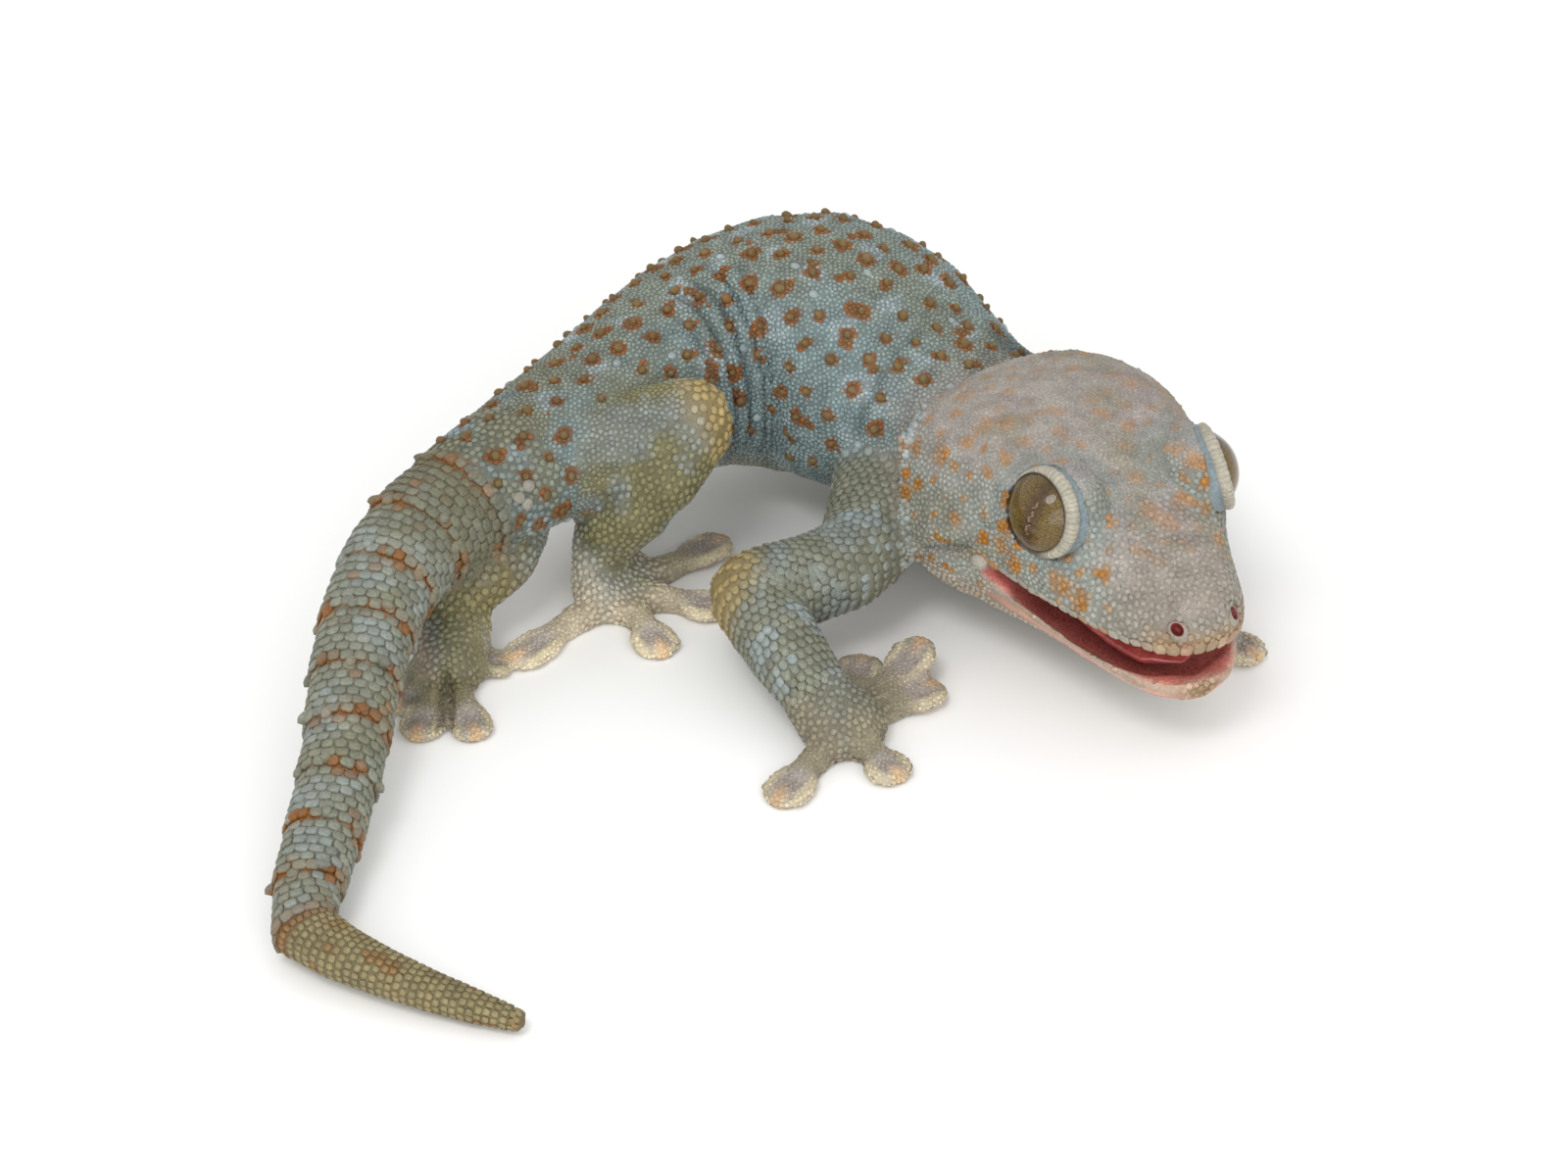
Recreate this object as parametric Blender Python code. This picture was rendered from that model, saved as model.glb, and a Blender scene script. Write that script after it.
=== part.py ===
"""A tokay gecko, life size and still, standing with its head and its tail both swung round to its right.

The flesh is lofted along smooth routes: one from the nape to the tip of the tail, one down each leg and one along
each toe. Thin cuts then part it where a person would name its parts. Metres, +Z up, soles on the floor at Z = 0.
"""

import math

import bmesh
import bpy
import numpy as np
from mathutils import Matrix, Vector

MM = 0.001
GAP = 0.3 * MM  # left between neighbouring solids
CENTRE = Vector((1.3, -0.7, 0.0)) * MM  # centre of the animal's plan in the figures below, moved to the origin

# The head's own frame: X to the snout, Y to the gecko's left, Z up, origin between the jaw joints at lip height.
HEAD_AT = Vector((33.8, 25.6, 18.6)) * MM
HEAD_HEADING = math.radians(-64.5)
HEAD_PITCH = math.radians(4.0)  # snout down
HEAD_BACK = -6.0  # millimetres behind the jaw joints, where the neck takes over
SNOUT_TIP = 46.0
MOUTH_CORNER = 14.0
JAW_HINGE = 6.0
GAPE = math.radians(6.0)

# Sections of the head along its X: half width, crown above the lips, chin below them, squareness above and below.
HEAD_SECTIONS = (
    (-9.0, 17.2, 12.6, 13.0, 2.1, 2.2),
    (-3.0, 19.6, 14.4, 14.2, 2.2, 2.4),
    (4.0, 20.4, 15.6, 14.6, 2.3, 2.5),
    (11.0, 19.0, 15.8, 13.8, 2.3, 2.6),
    (18.0, 16.2, 14.8, 11.6, 2.3, 2.6),
    (25.0, 13.7, 13.0, 9.2, 2.3, 2.6),
    (32.0, 11.5, 10.5, 7.4, 2.2, 2.5),
    (38.0, 9.4, 8.8, 5.8, 2.2, 2.5),
    (42.5, 7.1, 7.6, 4.6, 2.2, 2.4),
    (45.2, 4.2, 5.8, 3.3, 2.1, 2.2),
    (SNOUT_TIP, 1.6, 3.6, 2.0, 2.0, 2.0),
)
# Swellings of the head: where on it (X, Y, Z), how far it stands out, and how wide it is.
HEAD_SWELLINGS = (
    (21.0, 11.5, 13.2, 2.2, 6.0),  # brow over the eye
    (7.0, 19.0, -5.0, 1.5, 7.5),  # jaw muscle
    (22.3, 12.6, 9.6, 2.6, 6.0),  # socket
    (41.5, 4.6, 7.4, 0.7, 2.2),  # nostril
    (28.0, 0.0, 12.4, -1.1, 5.0),  # furrow between the eyes
    (9.0, 8.0, 14.5, 0.8, 6.0),  # temple
)
EYE_CENTRE = Vector((22.3, 9.7, 10.0)) * MM
EYE_RADIUS = 6.3 * MM

# Stations of the body: X, Y, Z of its axis, half width, height above the axis, depth below it, squareness.
BODY = (
    ("skull", 31.2, 31.6, 19.0, 14.4, 10.0, 12.4, 2.1),
    ("nape", 25.0, 35.2, 19.6, 15.0, 11.2, 13.4, 2.2),
    ("shoulder", 18.4, 40.2, 20.2, 16.8, 13.2, 15.2, 2.3),
    ("chest", 12.4, 45.8, 21.6, 18.2, 15.6, 17.2, 2.5),
    ("back", 4.4, 50.4, 22.6, 17.6, 16.9, 18.2, 2.5),
    ("belly", -4.8, 50.6, 22.2, 16.1, 15.4, 17.8, 2.5),
    ("flank", -13.2, 46.2, 21.8, 13.6, 13.2, 16.2, 2.3),
    ("loin", -23.0, 35.4, 21.0, 11.6, 11.2, 12.0, 2.2),
    ("pelvis", -32.9, 24.8, 20.0, 10.6, 8.8, 9.0, 2.2),
    ("vent", -42.0, 15.6, 18.5, 8.8, 7.9, 7.5, 2.1),
    ("tail_root", -48.4, 8.0, 17.0, 7.7, 7.0, 6.6, 2.1),
    ("tail_a", -52.3, -1.4, 14.8, 6.8, 6.2, 5.9, 2.1),
    ("tail_b", -54.1, -14.0, 11.6, 6.0, 5.3, 5.3, 2.2),
    ("tail_c", -54.5, -25.7, 8.8, 5.4, 4.8, 5.0, 2.2),
    ("tail_d", -55.6, -37.4, 6.6, 4.9, 4.3, 4.6, 2.3),
    ("tail_e", -56.8, -47.8, 5.2, 4.4, 3.9, 4.3, 2.3),
    ("stump", -56.6, -54.6, 4.5, 4.1, 3.7, 4.1, 2.2),
    ("regrown_a", -51.2, -58.6, 3.9, 3.4, 3.0, 3.4, 2.1),
    ("regrown_b", -43.4, -62.6, 3.2, 2.7, 2.4, 2.8, 2.1),
    ("regrown_c", -35.8, -65.7, 2.4, 2.1, 1.9, 2.2, 2.1),
    ("tail_end", -30.6, -67.6, 1.9, 1.4, 1.4, 1.6, 2.0),
)
BODY_CUTS = (  # each node of the body runs from one station to the next one named here
    ("neck", "nape"),
    ("chest", "shoulder"),
    ("trunk", "back"),
    ("loin", "flank"),
    ("pelvis", "loin"),
    ("tail_base", "vent"),
    ("tail_upper", "tail_a"),
    ("tail_middle", "tail_c"),
    ("tail_lower", "tail_e"),
    ("tail_regrown", "stump"),
)
BODY_SIDES = 22
BODY_STEP = 6.2 * MM
BODY_HEADING_REACH = 10.0 * MM  # how far each way a section looks for its heading, so that bends keep sections apart

# A leg's route: X, Y, Z, half width, half height. Its first point lies inside the body; the third is elbow or knee.
# A foot: the sole's centre, then each toe's heading in degrees, its length, and how far its tip is lifted.
LEGS = {
    "front_right": {
        "names": ("upper_arm", "forearm", "hand"),
        "route": (
            (14.0, 32.0, 15.0, 7.0, 7.0),
            (12.4, 20.6, 13.0, 6.8, 6.6),
            (8.6, 11.0, 11.6, 6.2, 6.0),
            (-4.4, 4.4, 11.2, 5.8, 5.8),
            (0.4, -4.9, 8.7, 5.3, 5.0),
            (4.2, -10.2, 5.8, 4.7, 3.7),
        ),
        "sole": (7.8, -12.0, 2.7, 5.6),
        "toes": ((238, 16.4, 0.0), (306, 11.4, 0.0), (38, 15.6, 0.5), (55, 18.4, 3.8), (81, 16.0, 0.3)),
    },
    "front_left": {
        "names": ("upper_arm", "forearm", "hand"),
        "route": (
            (27.0, 43.0, 15.0, 6.2, 6.2),
            (38.0, 49.0, 14.0, 6.0, 6.0),
            (51.6, 47.4, 10.4, 5.5, 5.5),
            (55.4, 34.0, 5.6, 4.5, 4.2),
            (54.6, 20.8, 4.0, 4.4, 3.3),
        ),
        "sole": (53.2, 14.4, 2.5, 5.4),
        "toes": ((188, 10.5, 0.0), (225, 12.0, 0.0), (270, 12.5, 0.0), (313, 14.0, 0.0), (22, 8.4, 0.0)),
    },
    "hind_right": {
        "names": ("thigh", "shank", "foot"),
        "route": (
            (-35.0, 26.5, 19.0, 7.2, 7.0),
            (-25.6, 23.6, 21.2, 7.4, 7.2),
            (-12.6, 25.0, 25.0, 6.3, 6.1),
            (-17.4, 18.8, 17.8, 5.1, 4.9),
            (-24.6, 21.6, 8.2, 4.8, 4.4),
        ),
        "sole": (-22.4, 18.6, 2.9, 6.4),
        "toes": ((228, 20.6, 0.0), (296, 14.4, 0.0), (348, 14.6, 0.0), (42, 19.0, 0.8), (100, 10.0, 0.0)),
    },
    "hind_left": {
        "names": ("thigh", "shank", "foot"),
        "route": (
            (-37.5, 28.0, 16.0, 6.6, 6.4),
            (-37.0, 21.0, 12.0, 6.0, 5.8),
            (-38.6, 14.6, 9.6, 5.4, 5.0),
            (-43.6, 9.6, 7.4, 5.2, 4.6),
            (-43.6, 4.8, 4.8, 5.0, 3.8),
        ),
        "sole": (-44.2, 0.8, 2.8, 5.0),
        "toes": ((196, 9.0, 0.0), (231, 10.0, 0.0), (257, 14.2, 0.0), (289, 14.6, 0.0), (18, 8.0, 0.0)),
    },
}
LEG_SIDES = 12
PALM_PROFILE = ((0.84, -0.15), (1.0, 0.9), (0.66, 2.0))  # spread and level of the palm, as shares of its halves
ROUNDING = ((0.82, 0.5), (0.42, 0.86))  # size and reach of the rings that round an elbow or a knee
LEG_STEP = 4.4 * MM
# A toe's shape: share of its length, half width, half height. The stem swells into the climbing pad.
TOE_PROFILE = (
    (0.0, 2.4, 2.1),
    (0.38, 2.0, 1.7),
    (0.58, 1.9, 1.35),
    (0.76, 2.75, 1.15),
    (0.9, 2.85, 1.0),
    (0.98, 1.7, 0.75),
    (1.0, 0.8, 0.5),
)
TOE_SIDES = 8

SKIN_COLOUR = (0.46, 0.52, 0.49)
HEAD_COLOUR = (0.52, 0.50, 0.48)
REGROWN_COLOUR = (0.50, 0.44, 0.30)
TOE_COLOUR = (0.52, 0.50, 0.42)
EYE_COLOUR = (0.30, 0.22, 0.07)
MOUTH_COLOUR = (0.42, 0.05, 0.05)


def cleared_scene():
    """An empty scene with one collection for the animal and one for what cuts it."""
    for obj in list(bpy.data.objects):
        bpy.data.objects.remove(obj)
    made = []
    for name in ("tokay_gecko", "cutters"):
        collection = bpy.data.collections.new(name)
        bpy.context.scene.collection.children.link(collection)
        made.append(collection)
    return made


def material(name, colour, roughness):
    made = bpy.data.materials.new(name)
    made.use_nodes = True
    shader = made.node_tree.nodes["Principled BSDF"]
    shader.inputs["Base Color"].default_value = (*colour, 1.0)
    shader.inputs["Roughness"].default_value = roughness
    shader.inputs["Metallic"].default_value = 0.0
    return made


def finished(name, bm, collection, finish=None):
    """The bmesh as an object, with its faces pointing out."""
    bmesh.ops.recalc_face_normals(bm, faces=bm.faces)
    mesh = bpy.data.meshes.new(name)
    bm.to_mesh(mesh)
    bm.free()
    mesh.shade_smooth()
    obj = bpy.data.objects.new(name, mesh)
    collection.objects.link(obj)
    if finish is None:
        obj.hide_render = True
        obj.display_type = "WIRE"
    else:
        mesh.materials.append(finish)
    return obj


def lofted(name, rings, collection, finish=None):
    """A closed solid through rings of equally many points, with flat ends."""
    bm = bmesh.new()
    loops = [[bm.verts.new(point) for point in ring] for ring in rings]
    sides = len(loops[0])
    for near, far in zip(loops, loops[1:]):
        for k in range(sides):
            bm.faces.new((near[k], near[(k + 1) % sides], far[(k + 1) % sides], far[k]))
    bm.faces.new(loops[0])
    bm.faces.new(loops[-1])
    return finished(name, bm, collection, finish)


def wrapped(name, points, collection, finish):
    """The convex solid that wraps the points."""
    bm = bmesh.new()
    for point in points:
        bm.verts.new(point)
    hull = bmesh.ops.convex_hull(bm, input=bm.verts)
    bmesh.ops.delete(bm, geom=list(set(hull["geom_interior"] + hull["geom_unused"])), context="VERTS")
    return finished(name, bm, collection, finish)


def boolean(obj, operation, other):
    modifier = obj.modifiers.new(f"{operation.lower()} {other.name}", "BOOLEAN")
    modifier.solver = "EXACT"
    modifier.operation = operation
    modifier.object = other
    modifier.use_self = operation == "UNION"


def trimmed(obj, point, normal):
    """Cuts away what lies on the normal's side of a plane, and closes the cut."""
    bm = bmesh.new()
    bm.from_mesh(obj.data)
    everything = bm.verts[:] + bm.edges[:] + bm.faces[:]
    cut = bmesh.ops.bisect_plane(bm, geom=everything, plane_co=point, plane_no=normal, clear_outer=True)
    rim = [item for item in cut["geom_cut"] if isinstance(item, bmesh.types.BMEdge)]
    bmesh.ops.contextual_create(bm, geom=rim)
    bmesh.ops.recalc_face_normals(bm, faces=bm.faces)
    bm.to_mesh(obj.data)
    bm.free()


def curve_through(rows, count_per_span):
    """Catmull-Rom rows through the given rows."""
    rows = np.array(rows, float)
    padded = np.vstack([2 * rows[0] - rows[1], rows, 2 * rows[-1] - rows[-2]])
    made = []
    for i in range(1, len(padded) - 2):
        before, start, end, after = padded[i - 1 : i + 3]
        for t in np.arange(count_per_span) / count_per_span:
            made.append(
                0.5
                * (
                    2 * start
                    + (end - before) * t
                    + (2 * before - 5 * start + 4 * end - after) * t**2
                    + (3 * start - before - 3 * end + after) * t**3
                )
            )
    made.append(rows[-1])
    return np.array(made)


class Route:
    """A smooth route: its first three columns are places, the rest are sizes of the section there."""

    SAMPLES = 24

    def __init__(self, rows, reach=1.0 * MM):
        self.rows = curve_through(rows, self.SAMPLES)
        self.reach = reach
        steps = np.linalg.norm(np.diff(self.rows[:, :3], axis=0), axis=1)
        self.along = np.concatenate([[0.0], np.cumsum(steps)])
        self.stations = self.along[:: self.SAMPLES]

    def at(self, distance):
        return np.array([np.interp(distance, self.along, column) for column in self.rows.T])

    def frame(self, distance):
        """Side and up of the section there, square to the route."""
        ahead = Vector((self.at(distance + self.reach) - self.at(distance - self.reach))[:3]).normalized()
        side = Vector((0, 0, 1)).cross(ahead)
        side = side.normalized() if side.length > 1e-3 else Vector((0, 1, 0))
        return side, ahead.cross(side)

    def distances(self, start, end, step):
        return np.linspace(start, end, max(2, round((end - start) / step) + 1))


def squircle(sides, power):
    """Unit points of a superellipse, from its side and upwards."""
    turn = (np.arange(sides) + 0.5) * 2 * math.pi / sides
    flat = 2 / power
    return [(math.copysign(abs(c) ** flat, c), math.copysign(abs(s) ** flat, s)) for c, s in zip(np.cos(turn), np.sin(turn))]


def body_ring(route, distance, sides, swell=0.0):
    x, y, z, half_width, above, below, power = route.at(distance)
    side, up = route.frame(distance)
    middle = Vector((x, y, z))
    return [
        middle + side * (a * (half_width + swell)) + up * (b * ((above if b > 0 else below) + swell))
        for a, b in squircle(sides, power)
    ]


def limb_ring(route, distance, sides, swell=0.0):
    x, y, z, half_width, half_height = route.at(distance)
    side, up = route.frame(distance)
    middle = Vector((x, y, z))
    return [
        middle + side * (a * (half_width + swell)) + up * (b * (half_height + swell)) for a, b in squircle(sides, 2.1)
    ]


def rounded_end(last, before, reach):
    """Two shrinking rings that round off a loft past its last ring."""
    middle = sum(last, Vector()) / len(last)
    ahead = (middle - sum(before, Vector()) / len(before)).normalized()
    return [[middle + (point - middle) * size + ahead * (reach * out) for point in last] for size, out in ROUNDING]


def head_matrix():
    turn = Matrix.Rotation(HEAD_HEADING, 4, "Z") @ Matrix.Rotation(HEAD_PITCH, 4, "Y")
    return Matrix.Translation(HEAD_AT - CENTRE) @ turn


def head_point(x, half_width, above, below, power_above, power_below, swell, turn):
    """A point of the head's surface at a turn round its section, with the swellings added."""
    cosine, sine = math.cos(turn), math.sin(turn)
    flat = 2 / (power_above if sine > 0 else power_below)
    y = math.copysign(abs(cosine) ** flat, cosine) * half_width
    z = math.copysign(abs(sine) ** flat, sine) * (above if sine > 0 else below)
    out = Vector((0.0, cosine, sine))
    push = swell / MM
    for sx, sy, sz, height, width in HEAD_SWELLINGS:
        apart = math.sqrt((x - sx) ** 2 + (abs(y) - sy) ** 2 + (z - sz) ** 2)
        push += height * math.exp(-((apart / width) ** 2))
    return (Vector((x, y, z)) + out * push) * MM


def head_rings(sides, step, swell=0.0):
    rows = curve_through(HEAD_SECTIONS, 12)
    xs = np.concatenate([np.arange(HEAD_BACK, 40.0, step), np.arange(40.0, SNOUT_TIP, step / 2), [SNOUT_TIP]])
    rings = []
    for x in xs:
        row = [np.interp(x, rows[:, 0], column) for column in rows.T]
        turns = (np.arange(sides) + 0.5) * 2 * math.pi / sides
        rings.append([head_point(*row, swell, turn) for turn in turns])
    return rings


def lip_height(x):
    """The closed lips seen from the side, in millimetres: nearly level, and dipping a little halfway."""
    share = (x - MOUTH_CORNER) / (SNOUT_TIP - MOUTH_CORNER)
    return 1.9 * share - 1.2 - 1.3 * math.sin(math.pi * min(max(share, 0.0), 1.0))


def below_the_lips(collection):
    """A prism that holds all of the head below the closed lips and ahead of the corner of the mouth."""
    beyond, under, wide = SNOUT_TIP + 6, -20.0, 30.0
    xs = np.linspace(MOUTH_CORNER, beyond, 12)
    outline = [(x, lip_height(x)) for x in xs] + [(beyond, under), (MOUTH_CORNER, under)]
    bm = bmesh.new()
    face = bm.faces.new([bm.verts.new(Vector((x, -wide, z)) * MM) for x, z in outline])
    moved = bmesh.ops.extrude_face_region(bm, geom=[face])["geom"]
    corners = [item for item in moved if isinstance(item, bmesh.types.BMVert)]
    bmesh.ops.translate(bm, verts=corners, vec=Vector((0, 2 * wide * MM, 0)))
    return finished("below_the_lips", bm, collection)


def mouth_form(name, first, last, inset, share, centre_drop, half_height, collection, finish=None):
    """A flattened form that follows the lips inside the mouth: its hollow, or the tongue."""
    rows = curve_through(HEAD_SECTIONS, 12)
    rings = []
    for t in np.linspace(0.0, 1.0, 10):
        x = first + (last - first) * t
        half_width = (np.interp(x, rows[:, 0], rows[:, 1]) - inset) * share
        fade = math.sqrt(max(0.0, 1 - (2 * t - 1) ** 6)) + 0.12
        middle = lip_height(x) - centre_drop
        rings.append(
            [Vector((x, a * half_width * fade, middle + b * half_height * fade)) * MM for a, b in squircle(12, 2.2)]
        )
    return lofted(name, rings, collection, finish)


def copied(obj, name, collection, finish=None):
    made = obj.copy()
    made.data = obj.data.copy()
    made.name = name
    made.data.materials.clear()
    made.hide_render = finish is None
    made.display_type = "WIRE" if finish is None else "TEXTURED"
    if finish is not None:
        made.data.materials.append(finish)
    collection.objects.link(made)
    return made


def evaluated_mesh(obj):
    """The object's mesh with its modifiers applied, in its own frame."""
    bpy.context.view_layer.update()
    return bpy.data.meshes.new_from_object(obj.evaluated_get(bpy.context.evaluated_depsgraph_get()))


def add_head(animal, cutters, finishes):
    """Upper head, lower jaw, tongue and eyes, each built in the head's frame."""
    place = head_matrix()
    whole = lofted("closed_head", head_rings(24, 3.4), cutters)
    prism = below_the_lips(cutters)
    hollow = mouth_form("mouth_hollow", MOUTH_CORNER + 1.5, 43.5, 1.9, 1.0, 0.0, 2.7, cutters)
    sockets = []
    for side, sign in (("left", 1), ("right", -1)):
        centre = Vector((EYE_CENTRE.x, sign * EYE_CENTRE.y, EYE_CENTRE.z))
        for name, radius, collection, finish in (
            (f"socket_{side}", EYE_RADIUS + GAP, cutters, None),
            (f"eye_{side}", EYE_RADIUS, animal, finishes["eye"]),
        ):
            bm = bmesh.new()
            bmesh.ops.create_uvsphere(bm, u_segments=16, v_segments=8, radius=radius)
            facing = Matrix.Rotation(-sign * math.radians(78), 4, "X") @ Matrix.Rotation(math.radians(12), 4, "Y")
            bmesh.ops.transform(bm, matrix=Matrix.Translation(centre) @ facing, verts=bm.verts)
            ball = finished(name, bm, collection, finish)
            if finish is None:
                sockets.append(ball)
            else:
                ball.matrix_world = place

    upper = copied(whole, "head", animal, finishes["head"])
    for cutter in (prism, hollow, *sockets):
        boolean(upper, "DIFFERENCE", cutter)
    jaw_form = copied(whole, "jaw_form", cutters)
    boolean(jaw_form, "INTERSECT", prism)
    boolean(jaw_form, "DIFFERENCE", hollow)
    jaw = bpy.data.objects.new("lower_jaw", evaluated_mesh(jaw_form))
    jaw.data.materials.clear()
    jaw.data.materials.append(finishes["head"])
    animal.objects.link(jaw)
    tongue = mouth_form("tongue", MOUTH_CORNER + 4, 40.5, 2.4, 0.7, 1.1, 1.15, animal, finishes["mouth"])
    hinge = Vector((JAW_HINGE, 0.0, -1.0)) * MM
    opened = Matrix.Translation(hinge) @ Matrix.Rotation(GAPE, 4, "Y") @ Matrix.Translation(-hinge)
    for part in (jaw, tongue):
        part.data.transform(opened)
        trimmed(part, Vector((MOUTH_CORNER * MM + GAP, 0, 0)), Vector((-1, 0, 0)))
        part.matrix_world = place
    upper.matrix_world = place
    form = lofted("head_form", head_rings(24, 3.4, GAP), cutters)
    for cutter in (whole, prism, hollow, jaw_form, form, *sockets):
        cutter.matrix_world = place
    return form


def body_route():
    rows = [[*(np.array(row[1:4]) * MM - np.array(CENTRE)), *(np.array(row[4:7]) * MM), row[7]] for row in BODY]
    return Route(rows, BODY_HEADING_REACH)


def add_body(animal, cutters, finishes, floor):
    """Neck, trunk and tail along one route, parted by thin cuts square to it."""
    route = body_route()
    station = {row[0]: distance for row, distance in zip(BODY, route.stations)}
    station["nape"] = station["skull"]  # the neck starts inside the head and is trimmed at the head's back
    names = [name for name, _ in BODY_CUTS]
    starts = [station[at] for _, at in BODY_CUTS]
    ends = starts[1:] + [route.along[-1]]
    for name, start, end in zip(names, starts, ends):
        finish = finishes["regrown" if name == "tail_regrown" else "skin"]
        first = start if name == "neck" else start + GAP / 2
        last = end if name == "tail_regrown" else end - GAP / 2
        rings = [body_ring(route, d, BODY_SIDES) for d in route.distances(first, last, BODY_STEP)]
        if name == "tail_regrown":
            rings.extend(rounded_end(rings[-1], rings[-2], route.rows[-1][3]))
        part = lofted(name, rings, animal, finish)
        if name == "neck":
            place = head_matrix()
            back = place @ (Vector((HEAD_BACK, 0, 0)) * MM - Vector((GAP, 0, 0)))
            trimmed(part, back, place.to_3x3() @ Vector((1, 0, 0)))
        boolean(part, "DIFFERENCE", floor)
    forms = {}
    for girdle, first, last in (("front", "skull", "back"), ("hind", "flank", "tail_a")):
        rings = [
            body_ring(route, d, BODY_SIDES, swell=GAP)
            for d in route.distances(station[first], station[last], BODY_STEP)
        ]
        forms[girdle] = lofted(f"{girdle}_girdle_form", rings, cutters)
    return forms


def toe(name, sole, heading, length, lift, collection):
    """One toe, from the middle of the sole out to its pad, as a solid that the foot takes in."""
    ahead = Vector((math.cos(heading), math.sin(heading), 0))
    side = Vector((-ahead.y, ahead.x, 0))
    rings = []
    for share, half_width, half_height in TOE_PROFILE:
        rise = lift * share**3
        middle = Vector(sole) + ahead * (share * length)
        middle.z += half_height * 0.8 + rise
        rings.append(
            [
                (middle + side * (a * half_width) + Vector((0, 0, b * half_height))) * MM - CENTRE
                for a, b in squircle(TOE_SIDES, 2.3)
            ]
        )
    return lofted(name, rings, collection)


def add_leg(which, leg, animal, cutters, finishes, floor, body_form, head_form):
    """The leg's two lengths and its foot, parted at elbow or knee and at wrist or ankle."""
    clear_of = [body_form, floor] + ([head_form] if which == "front_right" else [])
    joint = len(leg["route"]) - 3
    for name, first, last in zip(leg["names"], (0, joint), (joint, joint + 2)):
        rows = [np.array(row) * MM - np.array([*CENTRE, 0, 0]) for row in leg["route"][first : last + 1]]
        route = Route(rows)
        places = route.distances(0, route.along[-1], LEG_STEP)
        forms = []
        for swell in (0.0, GAP):
            rings = [limb_ring(route, d, LEG_SIDES, swell) for d in places]
            if first == 0:
                rings.extend(rounded_end(rings[-1], rings[-2], rows[-1][3]))
            forms.append(rings)
        part = lofted(f"{name}_{which}", forms[0], animal, finishes["skin"])
        for other in clear_of:
            boolean(part, "DIFFERENCE", other)
        clear_of.append(lofted(f"{name}_{which}_form", forms[1], cutters))

    x, y, half_height, half_width = leg["sole"]
    end = route.along[-1]
    side, up = route.frame(end)
    wrist = [point + side.cross(up) * GAP for point in limb_ring(route, end, LEG_SIDES)]
    middle = Vector((x, y, 0)) * MM - CENTRE
    pad = [
        middle + Vector((a * half_width * size, b * half_width * size, half_height * level)) * MM
        for size, level in PALM_PROFILE
        for a, b in squircle(LEG_SIDES, 2.0)
    ]
    foot = wrapped(f"{leg['names'][2]}_{which}", wrist + pad, animal, finishes["toe"])
    trimmed(foot, sum(wrist, Vector()) / len(wrist), up.cross(side))
    for number, (degrees, length, lift) in enumerate(leg["toes"], 1):
        root = (x, y, 0.07 * number)
        digit = toe(f"toe_{number}_{which}", root, math.radians(degrees), length, lift, cutters)
        boolean(foot, "UNION", digit)
    boolean(foot, "DIFFERENCE", floor)


def floor_box(cutters):
    """All that lies below the floor, which gives the soles and the tail their small flats."""
    bm = bmesh.new()
    bmesh.ops.create_cube(bm, size=1.0)
    bmesh.ops.scale(bm, vec=Vector((0.4, 0.4, 0.02)), verts=bm.verts)
    bmesh.ops.translate(bm, vec=Vector((0, 0, -0.01)), verts=bm.verts)
    return finished("floor", bm, cutters)


def main():
    animal, cutters = cleared_scene()
    finishes = {
        "skin": material("skin", SKIN_COLOUR, 0.6),
        "head": material("head_skin", HEAD_COLOUR, 0.55),
        "regrown": material("regrown_skin", REGROWN_COLOUR, 0.65),
        "toe": material("toe_skin", TOE_COLOUR, 0.6),
        "eye": material("eye", EYE_COLOUR, 0.05),
        "mouth": material("mouth", MOUTH_COLOUR, 0.3),
    }
    floor = floor_box(cutters)
    head_form = add_head(animal, cutters, finishes)
    body_forms = add_body(animal, cutters, finishes, floor)
    for which, leg in LEGS.items():
        add_leg(which, leg, animal, cutters, finishes, floor, body_forms[which.split("_")[0]], head_form)


main()
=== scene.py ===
"""The looks of a life-size tokay gecko: one skin over the flesh, scales, spots, eyes, lids, tongue and claws.

Lengths are millimetres in the tables and arrays below, and become metres when a mesh is made.
"""

import math

import bpy
import numpy as np
from mathutils import Matrix, Vector
from mathutils.bvhtree import BVHTree
from mathutils.kdtree import KDTree


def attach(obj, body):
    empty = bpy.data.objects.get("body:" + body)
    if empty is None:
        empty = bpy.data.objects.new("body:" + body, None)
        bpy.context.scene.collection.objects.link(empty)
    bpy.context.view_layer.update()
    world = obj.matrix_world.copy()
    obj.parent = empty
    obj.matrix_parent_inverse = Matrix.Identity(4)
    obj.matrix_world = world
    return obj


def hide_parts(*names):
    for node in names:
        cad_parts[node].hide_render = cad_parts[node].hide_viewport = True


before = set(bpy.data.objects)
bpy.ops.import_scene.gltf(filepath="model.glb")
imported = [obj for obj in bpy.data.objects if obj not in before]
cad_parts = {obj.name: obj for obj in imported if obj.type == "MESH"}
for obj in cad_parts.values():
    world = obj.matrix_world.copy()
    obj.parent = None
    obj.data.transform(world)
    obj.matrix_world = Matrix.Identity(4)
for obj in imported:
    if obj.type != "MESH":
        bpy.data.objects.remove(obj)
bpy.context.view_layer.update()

MM = 0.001
SKIN_VOXEL = 0.62
SKIN_PUSH = 0.22  # closes the thin cuts between the solids before the skin is wrapped
SLIT_PUSH = -0.12  # keeps the slit of the mouth open instead
COAT_DEPTH = 0.42  # how far the skin lies inside the solids once it is wrapped, with SKIN_PUSH taken back
GRAIN_GAP = 0.72  # between the middles of a granule and of a larger scale
CROWN_END = 27  # ahead of this place in the head's frame the granules are those of the snout
CROWN_LEVEL = 0.62  # how level the skin is on the crown
KNEE_REACH = 6.5
TOE_START = 0.42  # as a share of a toe's length from the middle of the sole
SKIN_LOWEST = 0.12  # above the floor
PATCH = 0.003  # width of one scale in its piece's chart
CHART_EDGE = 0.02
MOST_IN_PIECE = 8800

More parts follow.
